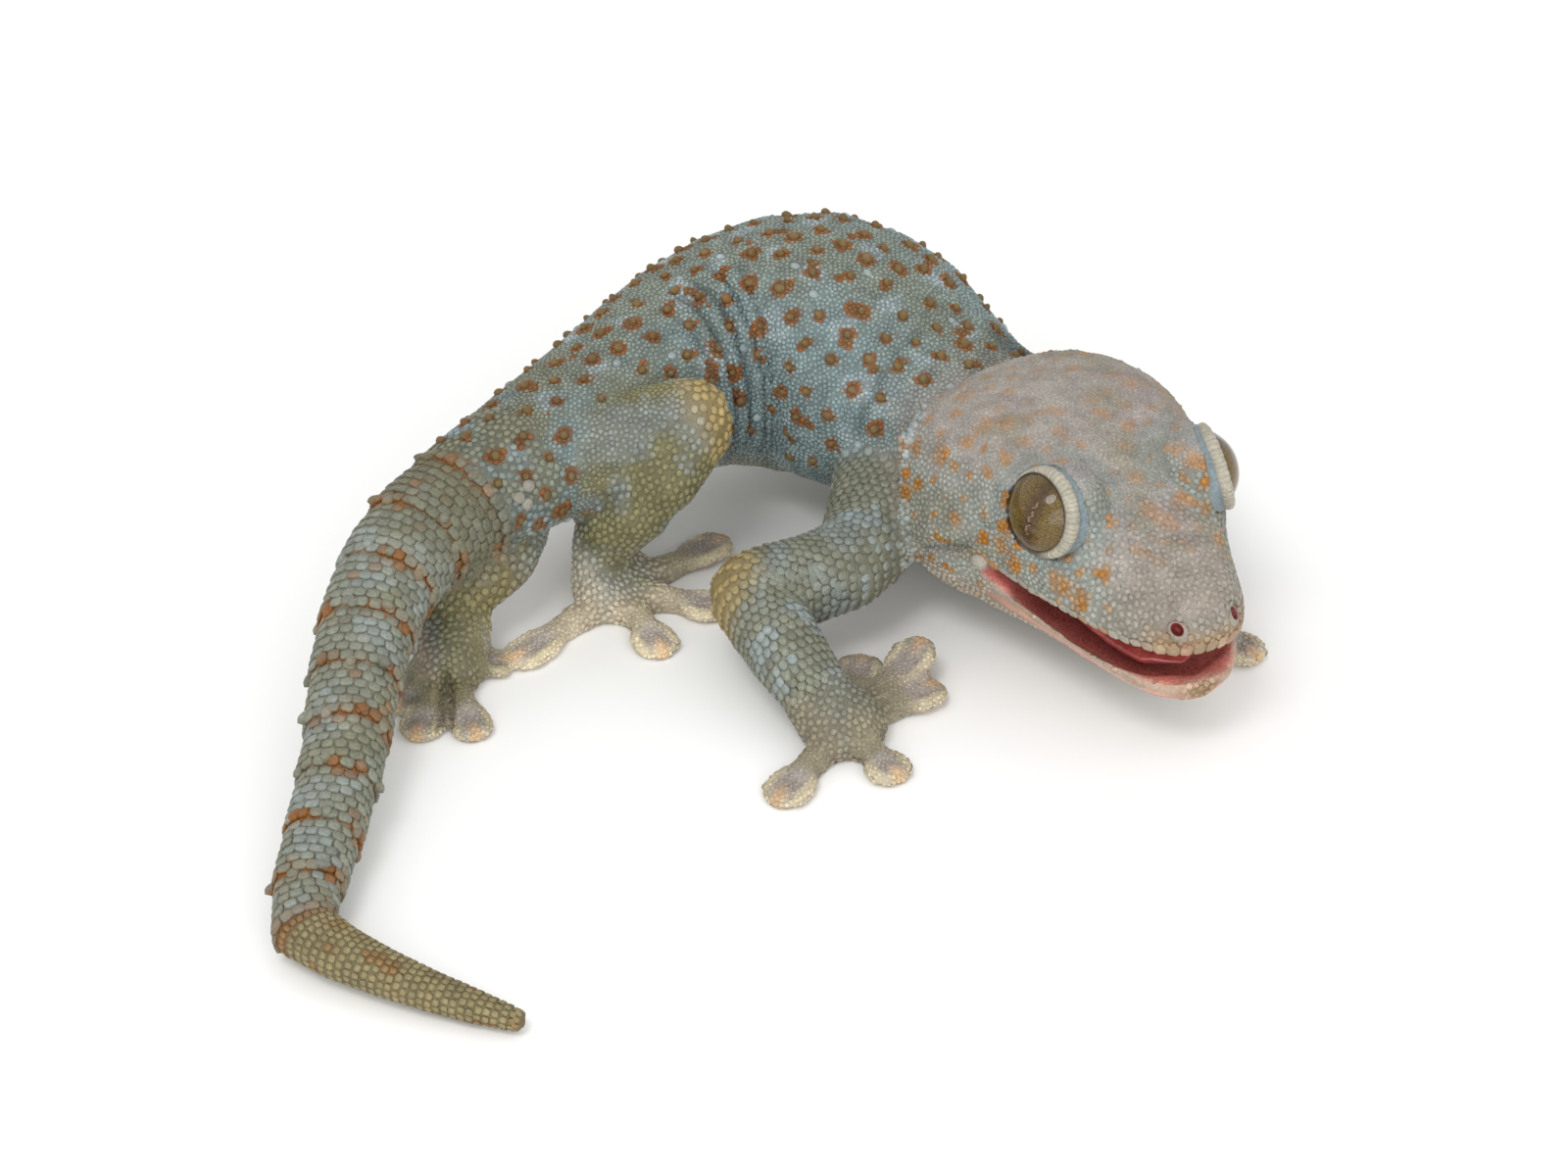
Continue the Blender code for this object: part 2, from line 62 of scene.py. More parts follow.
HEAD_AT = np.array([32.5, 26.3, 18.6])
HEAD_TURN = Matrix.Rotation(math.radians(-64.5), 4, "Z") @ Matrix.Rotation(math.radians(4.0), 4, "Y")
HEAD_AXES = np.array(HEAD_TURN.to_3x3())  # columns: to the snout, to the gecko's left, up

# Places in the head's frame. The right side mirrors Y.
EYE_CENTRE = np.array([22.3, 9.7, 10.0])
EYE_RADIUS = 6.3
EYE_OPENING = np.array([0.17, 0.94, 0.28])  # where the middle of the lids' opening faces
IRIS_FACES = np.array([0.38, 0.86, 0.32])
MOUTH_CORNER, SNOUT_TIP = 14.0, 46.0
MOUTH_HALF_WIDTH = ((4, 11, 18, 25, 32, 38, 42.5, 45.2, 46), (20.4, 19, 16.2, 13.7, 11.5, 9.4, 7.1, 4.2, 1.6))
JAW_HINGE, JAW_DROP = 6.0, math.radians(6.0)
SNOUT_BEND = 37.5  # from here on the upper lip turns round the tip of the snout
NOSTRIL = np.array([43.8, 4.2, 4.6])
NOSTRIL_SHAPE = np.array([0.85, 1.0, 1.15])
NOSTRIL_FACES = np.array([0.5, 0.55, 0.67])
EAR = np.array([[7.4, 20.6, -3.6], [14.0, 18.4, 0.2]])
EAR_RIDGE = np.array([[6.4, 20.6, -1.4], [13.4, 18.6, 2.2]])
CHEEK = np.array([[-5.0, 17.2, 8.5], [4.5, 21.2, -4.0]])  # the pale fold behind the cheek, from top to bottom
BEHIND_CHEEK = CHEEK - [2.3, 0, 0]
CORNER_KNOBS = np.array([[16.0, -17.0, -0.9], [16.0, 17.0, -0.9]])

FAR_NAPE = np.array([33.0, 41.0, 28.0])
VENT_KNOBS = np.array([[-34.7, 13.2, 23.0], [-34.7, 12.0, 20.9], [-36.0, 11.6, 22.2]])
TOE_GAP = np.array([[-45.3, -3.6], [-44.8, -13.5]])  # between the two longest toes of the left hind foot

# Middle of the body from the skull to the tip of the tail: X, Y, Z, half width.
BODY_ROUTE = (
    (29.9, 32.3, 19.0, 14.4),
    (23.7, 35.9, 19.6, 15.0),
    (17.1, 40.9, 20.2, 16.8),
    (11.1, 46.5, 21.6, 18.2),
    (3.1, 51.1, 22.6, 17.6),
    (-6.1, 51.3, 22.2, 16.1),
    (-14.5, 46.9, 21.8, 13.6),
    (-24.3, 36.1, 21.0, 11.6),
    (-34.2, 25.5, 20.0, 10.6),
    (-43.3, 16.3, 18.5, 8.8),
    (-49.7, 8.7, 17.0, 7.7),
    (-53.6, -0.7, 14.8, 6.8),
    (-55.4, -13.3, 11.6, 6.0),
    (-55.8, -25.0, 8.8, 5.4),
    (-56.9, -36.7, 6.6, 4.9),
    (-58.1, -47.1, 5.2, 4.4),
    (-57.9, -53.9, 4.5, 4.1),
    (-52.5, -57.9, 3.9, 3.4),
    (-44.7, -61.9, 3.2, 2.7),
    (-37.1, -65.0, 2.4, 2.1),
    (-31.9, -66.9, 1.9, 1.4),
)
WHORL = 8.4  # length of one ring of the tail between two rows of spines
LEG_ROUTES = {
    "front_right": (
        (12.7, 32.7, 15.0, 7.0),
        (11.1, 21.3, 13.0, 6.8),
        (7.3, 11.7, 11.6, 6.2),
        (-5.7, 5.1, 11.2, 5.8),
        (-0.9, -4.2, 8.7, 5.3),
        (2.9, -9.5, 5.8, 4.7),
    ),
    "front_left": (
        (25.7, 43.7, 15.0, 6.2),
        (36.7, 49.7, 14.0, 6.0),
        (50.3, 48.1, 10.4, 5.5),
        (54.1, 34.7, 5.6, 4.5),
        (53.3, 21.5, 4.0, 4.4),
    ),
    "hind_right": (
        (-36.3, 27.2, 19.0, 7.2),
        (-26.9, 24.3, 21.2, 7.4),
        (-13.9, 25.7, 25.0, 6.3),
        (-18.7, 19.5, 17.8, 5.1),
        (-25.9, 22.3, 8.2, 4.8),
    ),
    "hind_left": (
        (-38.8, 28.7, 16.0, 6.6),
        (-38.3, 21.7, 12.0, 6.0),
        (-39.9, 15.3, 9.6, 5.4),
        (-44.9, 10.3, 7.4, 5.2),
        (-44.9, 5.5, 4.8, 5.0),
    ),
}
# The middle of each sole, then the heading in degrees, length and lift of each toe.
FEET = {
    "front_right": (
        (6.5, -11.3),
        ((238, 16.4, 0), (306, 11.4, 0), (38, 15.6, 0.5), (55, 18.4, 3.8), (81, 16, 0.3)),
    ),
    "front_left": ((51.9, 15.1), ((188, 10.5, 0), (225, 12, 0), (270, 12.5, 0), (313, 14, 0), (22, 8.4, 0))),
    "hind_right": ((-23.7, 19.3), ((228, 20.6, 0), (296, 14.4, 0), (348, 14.6, 0), (42, 19, 0.8), (100, 10, 0))),
    "hind_left": ((-45.5, 1.5), ((196, 9, 0), (231, 10, 0), (257, 14.2, 0), (289, 14.6, 0), (18, 8, 0))),
}
# Middles of the tan scales over each elbow and knee.
JOINTS = {
    "front_right": np.array([-9.4, 4.4, 11.6]),
    "front_left": np.array([53.5, 50.0, 11.0]),
    "hind_right": np.array([-10.2, 26.0, 26.0]),
    "hind_left": np.array([-39.9, 12.3, 9.6]),
}

GROUPS = {
    "head": ("head", "lower_jaw"),
    "trunk": ("neck", "chest", "trunk", "loin", "pelvis"),
    "tail": ("tail_base", "tail_upper", "tail_middle", "tail_lower"),
    "regrown": ("tail_regrown",),
}
LIMBS = {"front": ("upper_arm", "forearm", "hand"), "hind": ("thigh", "shank", "foot")}
for which in LEG_ROUTES:
    upper, lower, end = LIMBS[which.split("_")[0]]
    GROUPS[f"leg_{which}"] = (f"{upper}_{which}", f"{lower}_{which}")
    GROUPS[f"foot_{which}"] = (f"{end}_{which}",)
NUMBER = {name: i for i, name in enumerate(GROUPS)}

# Rings of small forms, from the rim to the middle: how wide, and how high.
DOME = ((1.0, -0.5), (0.84, 0.42), (0.45, 0.84), (0.0, 1.0))
KNOB = ((0.8, -0.5), (1.0, 0.2), (0.9, 0.62), (0.6, 0.9), (0.3, 0.98), (0.0, 1.0))
PLATE = ((1.0, -0.6), (0.86, 0.6), (0.5, 0.95), (0.0, 1.0))
GRAIN = ((1.0, -0.5), (0.78, 0.66), (0.0, 1.0))
SPINE = ((1.0, -0.4), (0.84, 0.4), (0.45, 0.8), (0.0, 1.0))
# How far across the ridge of a lid, then across the skin behind it, and how high above the ball.
LID_PROFILE = (
    *((-0.5, -0.5), (0.0, 0.05), (0.08, 0.4), (0.25, 0.72), (0.5, 0.85), (0.75, 0.7)),
    *((0.93, 0.4), (1.0, 0.18), (1.25, 0.14), (1.6, 0.16), (2.0, 0.2), (2.02, -0.5)),
)
# The flesh behind a lid: share of the way from the lid to the ball's back, and distance from the ball's middle.
ORBIT_PROFILE = ((0.0, 5.2), (0.0, 6.9), (0.07, 7.25), (0.3, 7.35), (0.6, 7.3), (1.0, 7.0), (1.0, 5.2))
ORBIT_END = math.radians(128)
# Radius and level of the rings of a nostril, from its middle out.
NOSTRIL_PROFILE = (
    *((0.2, -0.95), (0.4, -0.8), (0.58, -0.4), (0.68, -0.08)),
    *((0.78, 0.06), (0.9, 0.06), (1.15, -0.15), (1.4, -0.7)),
)
# Reach, half width and rise of the rings of a claw.
CLAW_PROFILE = ((0.0, 0.26, 0.0), (0.35, 0.24, 0.1), (0.6, 0.16, 0.0), (0.85, 0.04, -0.22))


def linear(red, green, blue):
    """Screen colour from 0 to 255 as linear light."""
    return np.array([((c / 255 + 0.055) / 1.055) ** 2.4 for c in (red, green, blue)])


BLUE = linear(139, 158, 158)
OLIVE = linear(140, 136, 108)
PALE = linear(172, 186, 190)
BELLY = linear(158, 156, 142)
RUST = linear(136, 80, 14)
ORANGE = linear(174, 102, 24)
TUBERCLE = linear(124, 100, 58)
HEAD_TOP = linear(170, 163, 155)
HEAD_SIDE = linear(166, 170, 161)
HEAD_ORANGE = linear(190, 128, 42)
LILAC = linear(170, 154, 152)
SNOUT_TAN = linear(168, 136, 98)
SNOUT = linear(167, 156, 142)
LIP = linear(182, 170, 152)
LOWER_LIP = linear(212, 184, 162)
# Darker red of the painted shade deep in the mouth.
MOUTH_SHADED = linear(176, 92, 86)
MOUTH_RED = linear(220, 128, 116)
MOUTH_EDGE = linear(226, 178, 156)
NOSTRIL_EDGE = linear(128, 48, 44)
NOSTRIL_RED = linear(126, 48, 44)
EAR_DARK = linear(70, 56, 48)
LID_PALE = linear(172, 166, 150)
LID_DARK = linear(60, 52, 42)
LID_BLUE = linear(122, 134, 138)
KNOB_PALE = linear(176, 172, 158)
LEG_GREY = linear(142, 150, 145)
LEG_OLIVE = linear(138, 134, 97)
LEG_JOINT = linear(132, 120, 82)
KNEE_TAN = linear(188, 164, 108)
FOOT = linear(176, 164, 142)
TOE_RIM = linear(202, 189, 160)
TOE_TIP = linear(204, 164, 116)
PAD_GREY = linear(152, 144, 142)
TAIL_GREY = linear(146, 149, 133)
TAIL_JOINT = linear(118, 112, 84)
REGROWN = linear(148, 136, 98)
TONE = 0.84  # brings all the hide to the photo's exposure

rng = np.random.default_rng(20241)


def smooth(low, high, value):
    """A soft step from 0 at low to 1 at high."""
    share = np.clip((value - low) / (high - low), 0, 1)
    return share * share * (3 - 2 * share)


def hill(distance, width):
    """1 where the distance is 0, and soon 0 beyond the width."""
    return np.exp(-((distance / width) ** 2))


def noise(points, size, seed=0):
    """Soft random values from 0 to 1 at points, in blobs of about the given size."""
    place = points / size + seed * 17.31
    base = np.floor(place).astype(np.int64)
    part = place - base
    part = part * part * (3 - 2 * part)
    total = np.zeros(len(points))
    for corner in np.ndindex(2, 2, 2):
        cell = base + corner
        code = (cell[:, 0] * 73856093) ^ (cell[:, 1] * 19349663) ^ (cell[:, 2] * 83492791)
        code = ((code & 0x7FFFFFFF) * 1103515245 + 12345) & 0x7FFFFFFF
        weight = np.prod(np.where(corner, part, 1 - part), axis=1)
        total += weight * ((code >> 8) & 0xFFFF) / 65535
    return total


def rough_noise(points, size, seed=0):
    return 0.6 * noise(points, size, seed) + 0.4 * noise(points, size / 2.3, seed + 5)


def distance(points, target):
    return np.linalg.norm(points - target, axis=1)


def unit(vectors):
    return vectors / np.maximum(np.linalg.norm(vectors, axis=-1, keepdims=True), 1e-12)


def circle(turns, first, second):
    """Directions at the given turns from a first axis towards a second one."""
    return np.cos(turns)[:, None] * first + np.sin(turns)[:, None] * second


def whole_turn(count):
    return np.arange(count) * 2 * math.pi / count


def rings_joined(rings, count, closed=False):
    """Faces of four corners between rings of points that follow each other, a row of faces per ring."""
    a = np.arange(rings if closed else rings - 1)[:, None] * count + np.arange(count)
    b = a - np.arange(count) + (np.arange(count) + 1) % count
    return np.stack([a, b, (b + count) % (rings * count), (a + count) % (rings * count)], axis=-1)


class Route:
    """A smooth line through rows of X, Y, Z and half width, with a frame at each of its samples."""

    SAMPLES = 16

    def __init__(self, rows, reach):
        rows = np.array(rows, float)
        padded = np.vstack([2 * rows[0] - rows[1], rows, 2 * rows[-1] - rows[-2]])
        made = []
        for i in range(1, len(padded) - 2):
            before, start, end, after = padded[i - 1 : i + 3]
            for t in np.arange(self.SAMPLES) / self.SAMPLES:
                bend = (2 * before - 5 * start + 4 * end - after) * t**2
                twist = (3 * start - before - 3 * end + after) * t**3
                made.append(0.5 * (2 * start + (end - before) * t + bend + twist))
        made.append(rows[-1])
        rows = np.array(made)
        self.points, self.width = rows[:, :3], rows[:, 3]
        steps = np.linalg.norm(np.diff(self.points, axis=0), axis=1)
        self.along = np.concatenate([[0.0], np.cumsum(steps)])
        self.stations = self.along[:: self.SAMPLES]
        self.reach = reach

    def at(self, gone):
        return np.stack([np.interp(gone, self.along, column) for column in self.points.T], axis=-1)

    def frames(self, gone):
        ahead = unit(self.at(gone + self.reach) - self.at(gone - self.reach))
        side = unit(np.cross([0.0, 0.0, 1.0], ahead))
        return ahead, side, np.cross(ahead, side)

    def nearest(self, points):
        """For each point: distance along the route, turn round it from 0 to 1, and the heading there."""
        along = np.empty(len(points))
        for first in range(0, len(points), 20000):
            block = points[first : first + 20000]
            apart = ((block[:, None] - self.points[None]) ** 2).sum(2)
            along[first : first + 20000] = self.along[apart.argmin(1)]
        ahead, side, up = self.frames(along)
        for _ in range(2):
            along = np.clip(along + ((points - self.at(along)) * ahead).sum(1), 0, self.along[-1])
            ahead, side, up = self.frames(along)
        out = points - self.at(along)
        turn = np.arctan2((out * up).sum(1), (out * side).sum(1)) / (2 * math.pi) + 0.25
        return along, turn % 1.0, ahead


BODY = Route(BODY_ROUTE, 10.0)
LEGS = {which: Route(rows, 1.0) for which, rows in LEG_ROUTES.items()}
SHOULDER, FLANK, VENT, TAIL_ROOT, STUMP = BODY.stations[[2, 6, 9, 10, 16]]


def to_head(points):
    return (points - HEAD_AT) @ HEAD_AXES


def from_head(points):
    return points @ HEAD_AXES.T + HEAD_AT


def mirrored(point, sign):
    return np.array([point[0], sign * point[1], point[2]])


def lip_height(x):
    share = np.clip((x - MOUTH_CORNER) / (SNOUT_TIP - MOUTH_CORNER), 0, 1)
    return 1.9 * share - 1.2 - 1.3 * np.sin(math.pi * share)


def segment_distance(points, ends):
    start, end = ends
    along = np.clip(((points - start) @ (end - start)) / ((end - start) @ (end - start)), 0, 1)
    return np.linalg.norm(points - (start + along[:, None] * (end - start)), axis=1)


def toe_places(points, which):
    """Of the nearest toe of a foot, for each point: share of its length, signed offset from its middle, heading."""
    sole, toes = FEET[which]
    best = np.full(len(points), 1e9)
    share, offset = np.zeros(len(points)), np.zeros(len(points))
    heading = np.zeros((len(points), 3))
    for degrees, length, _ in toes:
        ahead = np.array([math.cos(math.radians(degrees)), math.sin(math.radians(degrees))])
        out = points[:, :2] - sole
        along, across = out @ ahead, out @ [-ahead[1], ahead[0]]
        apart = np.hypot(across, np.minimum(along, 0) + np.maximum(along - length, 0))
        nearer = apart < best
        best[nearer] = apart[nearer]
        share[nearer], offset[nearer] = along[nearer] / length, across[nearer]
        heading[nearer] = [*ahead, 0]
    return share, offset, heading


def measured(points, group):
    """Chart place (two numbers from 0 to 1) and lie of the coat for points that belong to one group."""
    if group == "head":
        place = to_head(points)
        turn = np.arctan2(place[:, 2] - 1, place[:, 1]) / (2 * math.pi) + 0.25
        lie = np.tile(-HEAD_AXES[:, 0], (len(points), 1))
        return (place[:, 0] + 8) / 56, turn % 1.0, lie
    if group.startswith("foot"):
        which = group[5:]
        chart = (points[:, :2] - FEET[which][0]) / 50 + 0.5
        return chart[:, 0], chart[:, 1], unit(toe_places(points, which)[2] + [0, 0, 1e-6])
    route = LEGS[group[4:]] if group.startswith("leg") else BODY
    along, turn, lie = route.nearest(points)
    first, last = {"trunk": (0.0, VENT), "tail": (VENT, STUMP), "regrown": (STUMP, BODY.along[-1])}.get(
        group, (0.0, route.along[-1])
    )
    return (along - first) / (last - first), turn, lie


class Measures:
    """What the folds and the colours depend on, at points of the skin."""

    def __init__(self, place, normals, shares):
        self.place, self.normals, self.up = place, normals, normals[:, 2]
        self.share = {name: shares[:, number] for name, number in NUMBER.items()}
        self.along, self.turn, _ = BODY.nearest(place)
        self.dorsal = 1 - np.abs(self.turn - 0.5) * 2
        self.whorl = (self.along - TAIL_ROOT) / WHORL
        self.on_head = to_head(place)
        self.x, self.z = self.on_head[:, 0], self.on_head[:, 2]
        self.both = np.column_stack([self.x, np.abs(self.on_head[:, 1]), self.z])  # both sides as the left one
        self.above_lip = self.z - lip_height(self.x)
        self.nostril = np.linalg.norm((self.both - NOSTRIL) * NOSTRIL_SHAPE, axis=1)
        self.eye = distance(self.both, EYE_CENTRE)
        self.ear = segment_distance(self.both, EAR)
        self.cheek = segment_distance(self.both, CHEEK)
        self.mottle, self.coarse = rough_noise(place, 2.4, 21), rough_noise(place, 7.0, 23)


def read(layer, name, size, kind=np.float32):
    """One attribute of all items of a mesh's layer, as rows of the given size."""
    values = np.empty(len(layer) * size, kind)
    layer.foreach_get(name, values)
    return values.reshape(-1, size) if size > 1 else values


def places_of(mesh):
    return read(mesh.vertices, "co", 3).astype(float) / MM


def normals_of(mesh):
    return read(mesh.vertices, "normal", 3).astype(float)


def moved_to(mesh, place):
    mesh.vertices.foreach_set("co", (place * MM).astype(np.float32).ravel())
    mesh.update()


def mesh_from(name, points, *faces):
    """A smooth mesh from points in millimetres and arrays of faces of like size."""
    mesh = bpy.data.meshes.new(name)
    corners = np.concatenate([block.ravel() for block in faces]).astype(np.int32)
    counts = np.concatenate([np.full(len(block), block.shape[1]) for block in faces])
    starts = np.concatenate([[0], np.cumsum(counts)[:-1]]).astype(np.int32)
    mesh.vertices.add(len(points))
    mesh.vertices.foreach_set("co", (points * MM).astype(np.float32).ravel())
    mesh.loops.add(len(corners))
    mesh.loops.foreach_set("vertex_index", corners)
    mesh.polygons.add(len(starts))
    mesh.polygons.foreach_set("loop_start", starts)
    mesh.update(calc_edges=True)
    mesh.shade_smooth()
    return mesh


def shown(name, data):
    obj = bpy.data.objects.new(name, data)
    bpy.context.scene.collection.objects.link(obj)
    return obj


def evaluated(obj):
    bpy.context.view_layer.update()
    return obj.evaluated_get(bpy.context.evaluated_depsgraph_get())


def added(name, mesh, finish, slot, *stands_for):
    """The mesh as a piece that rides on the gecko."""
    obj = shown(name, mesh)
    mesh.materials.clear()
    mesh.materials.append(finish)
    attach(obj, "root")
    if stands_for:
        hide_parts(*stands_for)
    return obj


def painted(mesh, colours, wet=None):
    """Stores a colour per vertex, and how wet the surface is, for the materials."""
    layer = mesh.color_attributes.new("markings", "FLOAT_COLOR", "POINT")
    values = np.ones((len(mesh.vertices), 4), np.float32)
    values[:, :3] = np.clip(colours, 0, 1)
    layer.data.foreach_set("color", values.ravel())
    damp = mesh.attributes.new("wet", "FLOAT", "POINT")
    damp.data.foreach_set("value", (np.zeros(len(values)) if wet is None else wet).astype(np.float32))


def turned_out(mesh, vertex, outward):
    """Turns all faces round if the normal at one vertex points the wrong way."""
    if read(mesh.vertices, "normal", 3)[vertex] @ outward < 0:
        mesh.flip_normals()


class Shader:
    """A material's node tree, with short calls for the nodes that it needs."""

    def __init__(self, name, roughness, coat=0.0, subsurface=0.0, specular=0.5):
        self.material = bpy.data.materials.new(name)
        self.material.use_nodes = True
        self.tree = self.material.node_tree
        self.main = self.tree.nodes["Principled BSDF"]
        self.set("Roughness", roughness)
        self.set("Coat Weight", coat)
        self.set("Coat Roughness", 0.03)
        self.set("Specular IOR Level", specular)
        if subsurface:
            self.set("Subsurface Weight", subsurface)
            self.set("Subsurface Radius", (1.0, 0.45, 0.3))
            self.set("Subsurface Scale", 0.6 * MM)

    def set(self, name, value, node=None):
        """Gives an input of a node, or else of the main one, a value, a colour or another node's output."""
        socket = (node or self.main).inputs[name]
        if isinstance(value, bpy.types.NodeSocket):
            self.tree.links.new(value, socket)
        else:
            socket.default_value = (*value, 1.0) if isinstance(value, np.ndarray) else value

    def node(self, kind, inputs, **settings):
        node = self.tree.nodes.new(f"ShaderNode{kind}")
        for name, value in settings.items():
            setattr(node, name, value)
        for name, value in inputs.items():
            self.set(name, value, node)
        return node

    def math(self, operation, *values):
        return self.node("Math", dict(enumerate(values)), operation=operation).outputs[0]

    def times(self, first, second):
        return self.math("MULTIPLY", first, second)

    def wave(self, value, rate):
        return self.math("SINE", self.times(value, rate))

    def attribute(self, name, output="Color"):
        return self.node("Attribute", {}, attribute_name=name).outputs[output]

    def place(self):
        """Places in metres on the model itself, so that patterns stay on it from any side."""
        return self.node("TexCoord", {}).outputs["Object"]

    def noise(self, scale, detail=3.0, vector=None):
        inputs = {"Scale": scale, "Detail": detail, "Vector": vector or self.place()}
        return self.node("TexNoise", inputs).outputs["Fac"]

    def cells(self, scale):
        return self.node("TexVoronoi", {"Scale": scale, "Vector": self.place()}).outputs["Distance"]

    def between(self, value, low, high):
        inputs = dict(enumerate((value, low, high)))
        return self.node("MapRange", inputs, interpolation_type="SMOOTHSTEP").outputs["Result"]

    def mixed(self, share, first, second, blend_type="MIX"):
        inputs = {"Factor": share, 6: first, 7: second}
        return self.node("Mix", inputs, data_type="RGBA", blend_type=blend_type).outputs[2]

    def bump(self, height, depth):
        self.set("Normal", self.node("Bump", {"Distance": depth, "Height": height}).outputs["Normal"])


def hide_material(name, grain, roughness, specular=0.4):
    """Skin or scales: the stored markings, mottled finely, damp where the mouth is."""
    shader = Shader(name, roughness, subsurface=0.04, specular=specular)
    fine = shader.between(shader.noise(2600.0, 4.0), 0.3, 0.7)
    soft = shader.between(shader.noise(420.0, 2.0), 0.3, 0.7)
    shade = shader.math("MULTIPLY_ADD", fine, 0.28, 0.85)
    shade = shader.times(shade, shader.math("MULTIPLY_ADD", soft, 0.2, 0.91))
    grey = shader.node("CombineColor", dict.fromkeys(range(3), shade)).outputs[0]
    shader.set("Base Color", shader.mixed(1.0, shader.attribute("markings"), grey, "MULTIPLY"))
    dry = shader.math("MULTIPLY_ADD", fine, 0.16, roughness - 0.08)
    shader.set("Roughness", shader.math("MULTIPLY_ADD", shader.attribute("wet", "Fac"), -0.3, dry))
    shader.bump(shader.math("ADD", fine, shader.cells(grain)), 0.05 * MM)
    return shader.material


def wet_material(name, first, second):
    shader = Shader(name, 0.25, coat=0.4, subsurface=0.2)
    blotch = shader.between(shader.noise(300.0), 0.3, 0.7)
    shader.set("Base Color", shader.mixed(blotch, first, second))
    shader.set("Roughness", shader.math("MULTIPLY_ADD", blotch, 0.12, 0.2))
    shader.bump(shader.cells(1500.0), 0.08 * MM)
    return shader.material


def eye_material():
    """A golden olive iris with a closed, wavy upright slit and pinholes in it. Its place is stored on the ball."""
    shader = Shader("gecko_eye", 0.16, coat=0.65, specular=0.15)
    between, times, wave = shader.between, shader.times, shader.wave
    place = shader.attribute("eye_place", "Vector")
    across, up, out = shader.node("SeparateXYZ", {0: place}).outputs
    stretched = shader.node("VectorMath", {0: place, 1: (2.2, 0.9, 1.0)}, operation="MULTIPLY").outputs[0]
    veins = shader.noise(1.6, 6.0, stretched)
    grain = shader.noise(7.0, 5.0, place)
    middle = shader.math("ADD", times(wave(up, 4.6), 0.16), times(wave(up, 10.0), 0.1))
    middle = shader.math("ADD", middle, times(up, 0.12))
    away = shader.math("ABSOLUTE", shader.math("SUBTRACT", across, middle))
    tall = between(shader.math("ABSOLUTE", shader.math("ADD", up, 0.4)), 2.5, 2.1)
    holes = between(shader.math("ABSOLUTE", wave(up, 1.75)), 0.975, 0.995)
    gold = shader.mixed(between(grain, 0.38, 0.62), linear(46, 34, 12), linear(126, 102, 42))
    for share, colour in (
        (between(veins, 0.5, 0.72), linear(96, 70, 34)),
        (times(between(away, 1.9, 0.2), 0.72), linear(58, 38, 24)),
        (times(times(between(away, 0.14, 0.08), tall), 0.55), linear(214, 176, 152)),
        (times(times(between(away, 0.06, 0.04), tall), 0.9), linear(40, 24, 20)),
        (times(times(holes, between(away, 0.24, 0.17)), tall), linear(14, 10, 9)),
        (between(out, 4.1, 2.9), linear(34, 28, 20)),
    ):
        gold = shader.mixed(share, gold, colour)
    shader.set("Base Color", gold)
    shader.bump(veins, 0.1 * MM)
    return shader.material


def claw_material():
    shader = Shader("gecko_claw", 0.35)
    horn = shader.between(shader.noise(900.0), 0.35, 0.65)
    shader.set("Base Color", shader.mixed(horn, linear(150, 124, 92), linear(176, 150, 116)))
    shader.bump(shader.noise(3000.0), 0.03 * MM)
    return shader.material


class Web:
    """The edges of a mesh, along which values per vertex are drawn towards the mean of their neighbours."""

    def __init__(self, mesh):
        self.edges = read(mesh.edges, "vertices", 2, np.int32)
        self.counts = np.bincount(self.edges.ravel(), minlength=len(mesh.vertices)).astype(float)

    def averaged(self, values, times=1, share=0.5):
        start, end = self.edges.T
        for _ in range(times):
            total = np.empty_like(values)
            for column in range(values.shape[1]):
                sums = np.bincount(start, values[end, column], len(values))
                total[:, column] = sums + np.bincount(end, values[start, column], len(values))
            values = values + share * (total / self.counts[:, None] - values)
        return values


def eye_axes(sign):
    """Middle of the lids' opening, and the directions up and to the front across it."""
    axis = unit(mirrored(EYE_OPENING, sign))
    lean = np.array([0.12, 0.0, 1.0])
    up = unit(lean - axis * (axis @ lean))
    front = np.cross(up, axis) * sign
    return axis, up, front if front[0] > 0 else -front


def lid_angles(turns):
    """Round the opening: its half angle, the widths of its ridge and of the thin skin behind, how far ahead."""
    opening = np.radians(54 - 2.5 * np.sin(turns) ** 2)
    ahead = smooth(-0.5, 0.8, np.cos(turns) * 0.8 + np.sin(turns) * 0.6)
    crescent = smooth(-0.3, 0.9, np.cos(turns) * 0.75 - np.sin(turns) * 0.6)
    return opening, np.radians(4 + 13 * ahead), np.radians(1 + 9 * crescent), ahead


def orbit_shell(sign):
    """A closed ring of flesh over the ball of an eye, from behind its lids down into the head."""
    count = 96
    turns = whole_turn(count)
    opening, ridge, crescent, _ = lid_angles(turns)
    start = opening + ridge + crescent
    axis, up, front = eye_axes(sign)
    centre = mirrored(EYE_CENTRE, sign)
    rows = []
    for share, radius in ORBIT_PROFILE:
        out = circle(start + (ORBIT_END - start) * share, axis, circle(turns, front, up))
        rows.append(centre + out * radius)
    quads = rings_joined(len(rows), count, closed=True)
    faces = np.stack([quads[..., :3], quads[..., [0, 2, 3]]], axis=1).reshape(-1, 3)
    points = from_head(np.concatenate(rows))
    first = points[faces[2 * count]]
    outward = np.cross(first[1] - first[0], first[2] - first[0]) @ (first[0] - from_head(centre))
    return points, faces if outward > 0 else faces[:, ::-1]


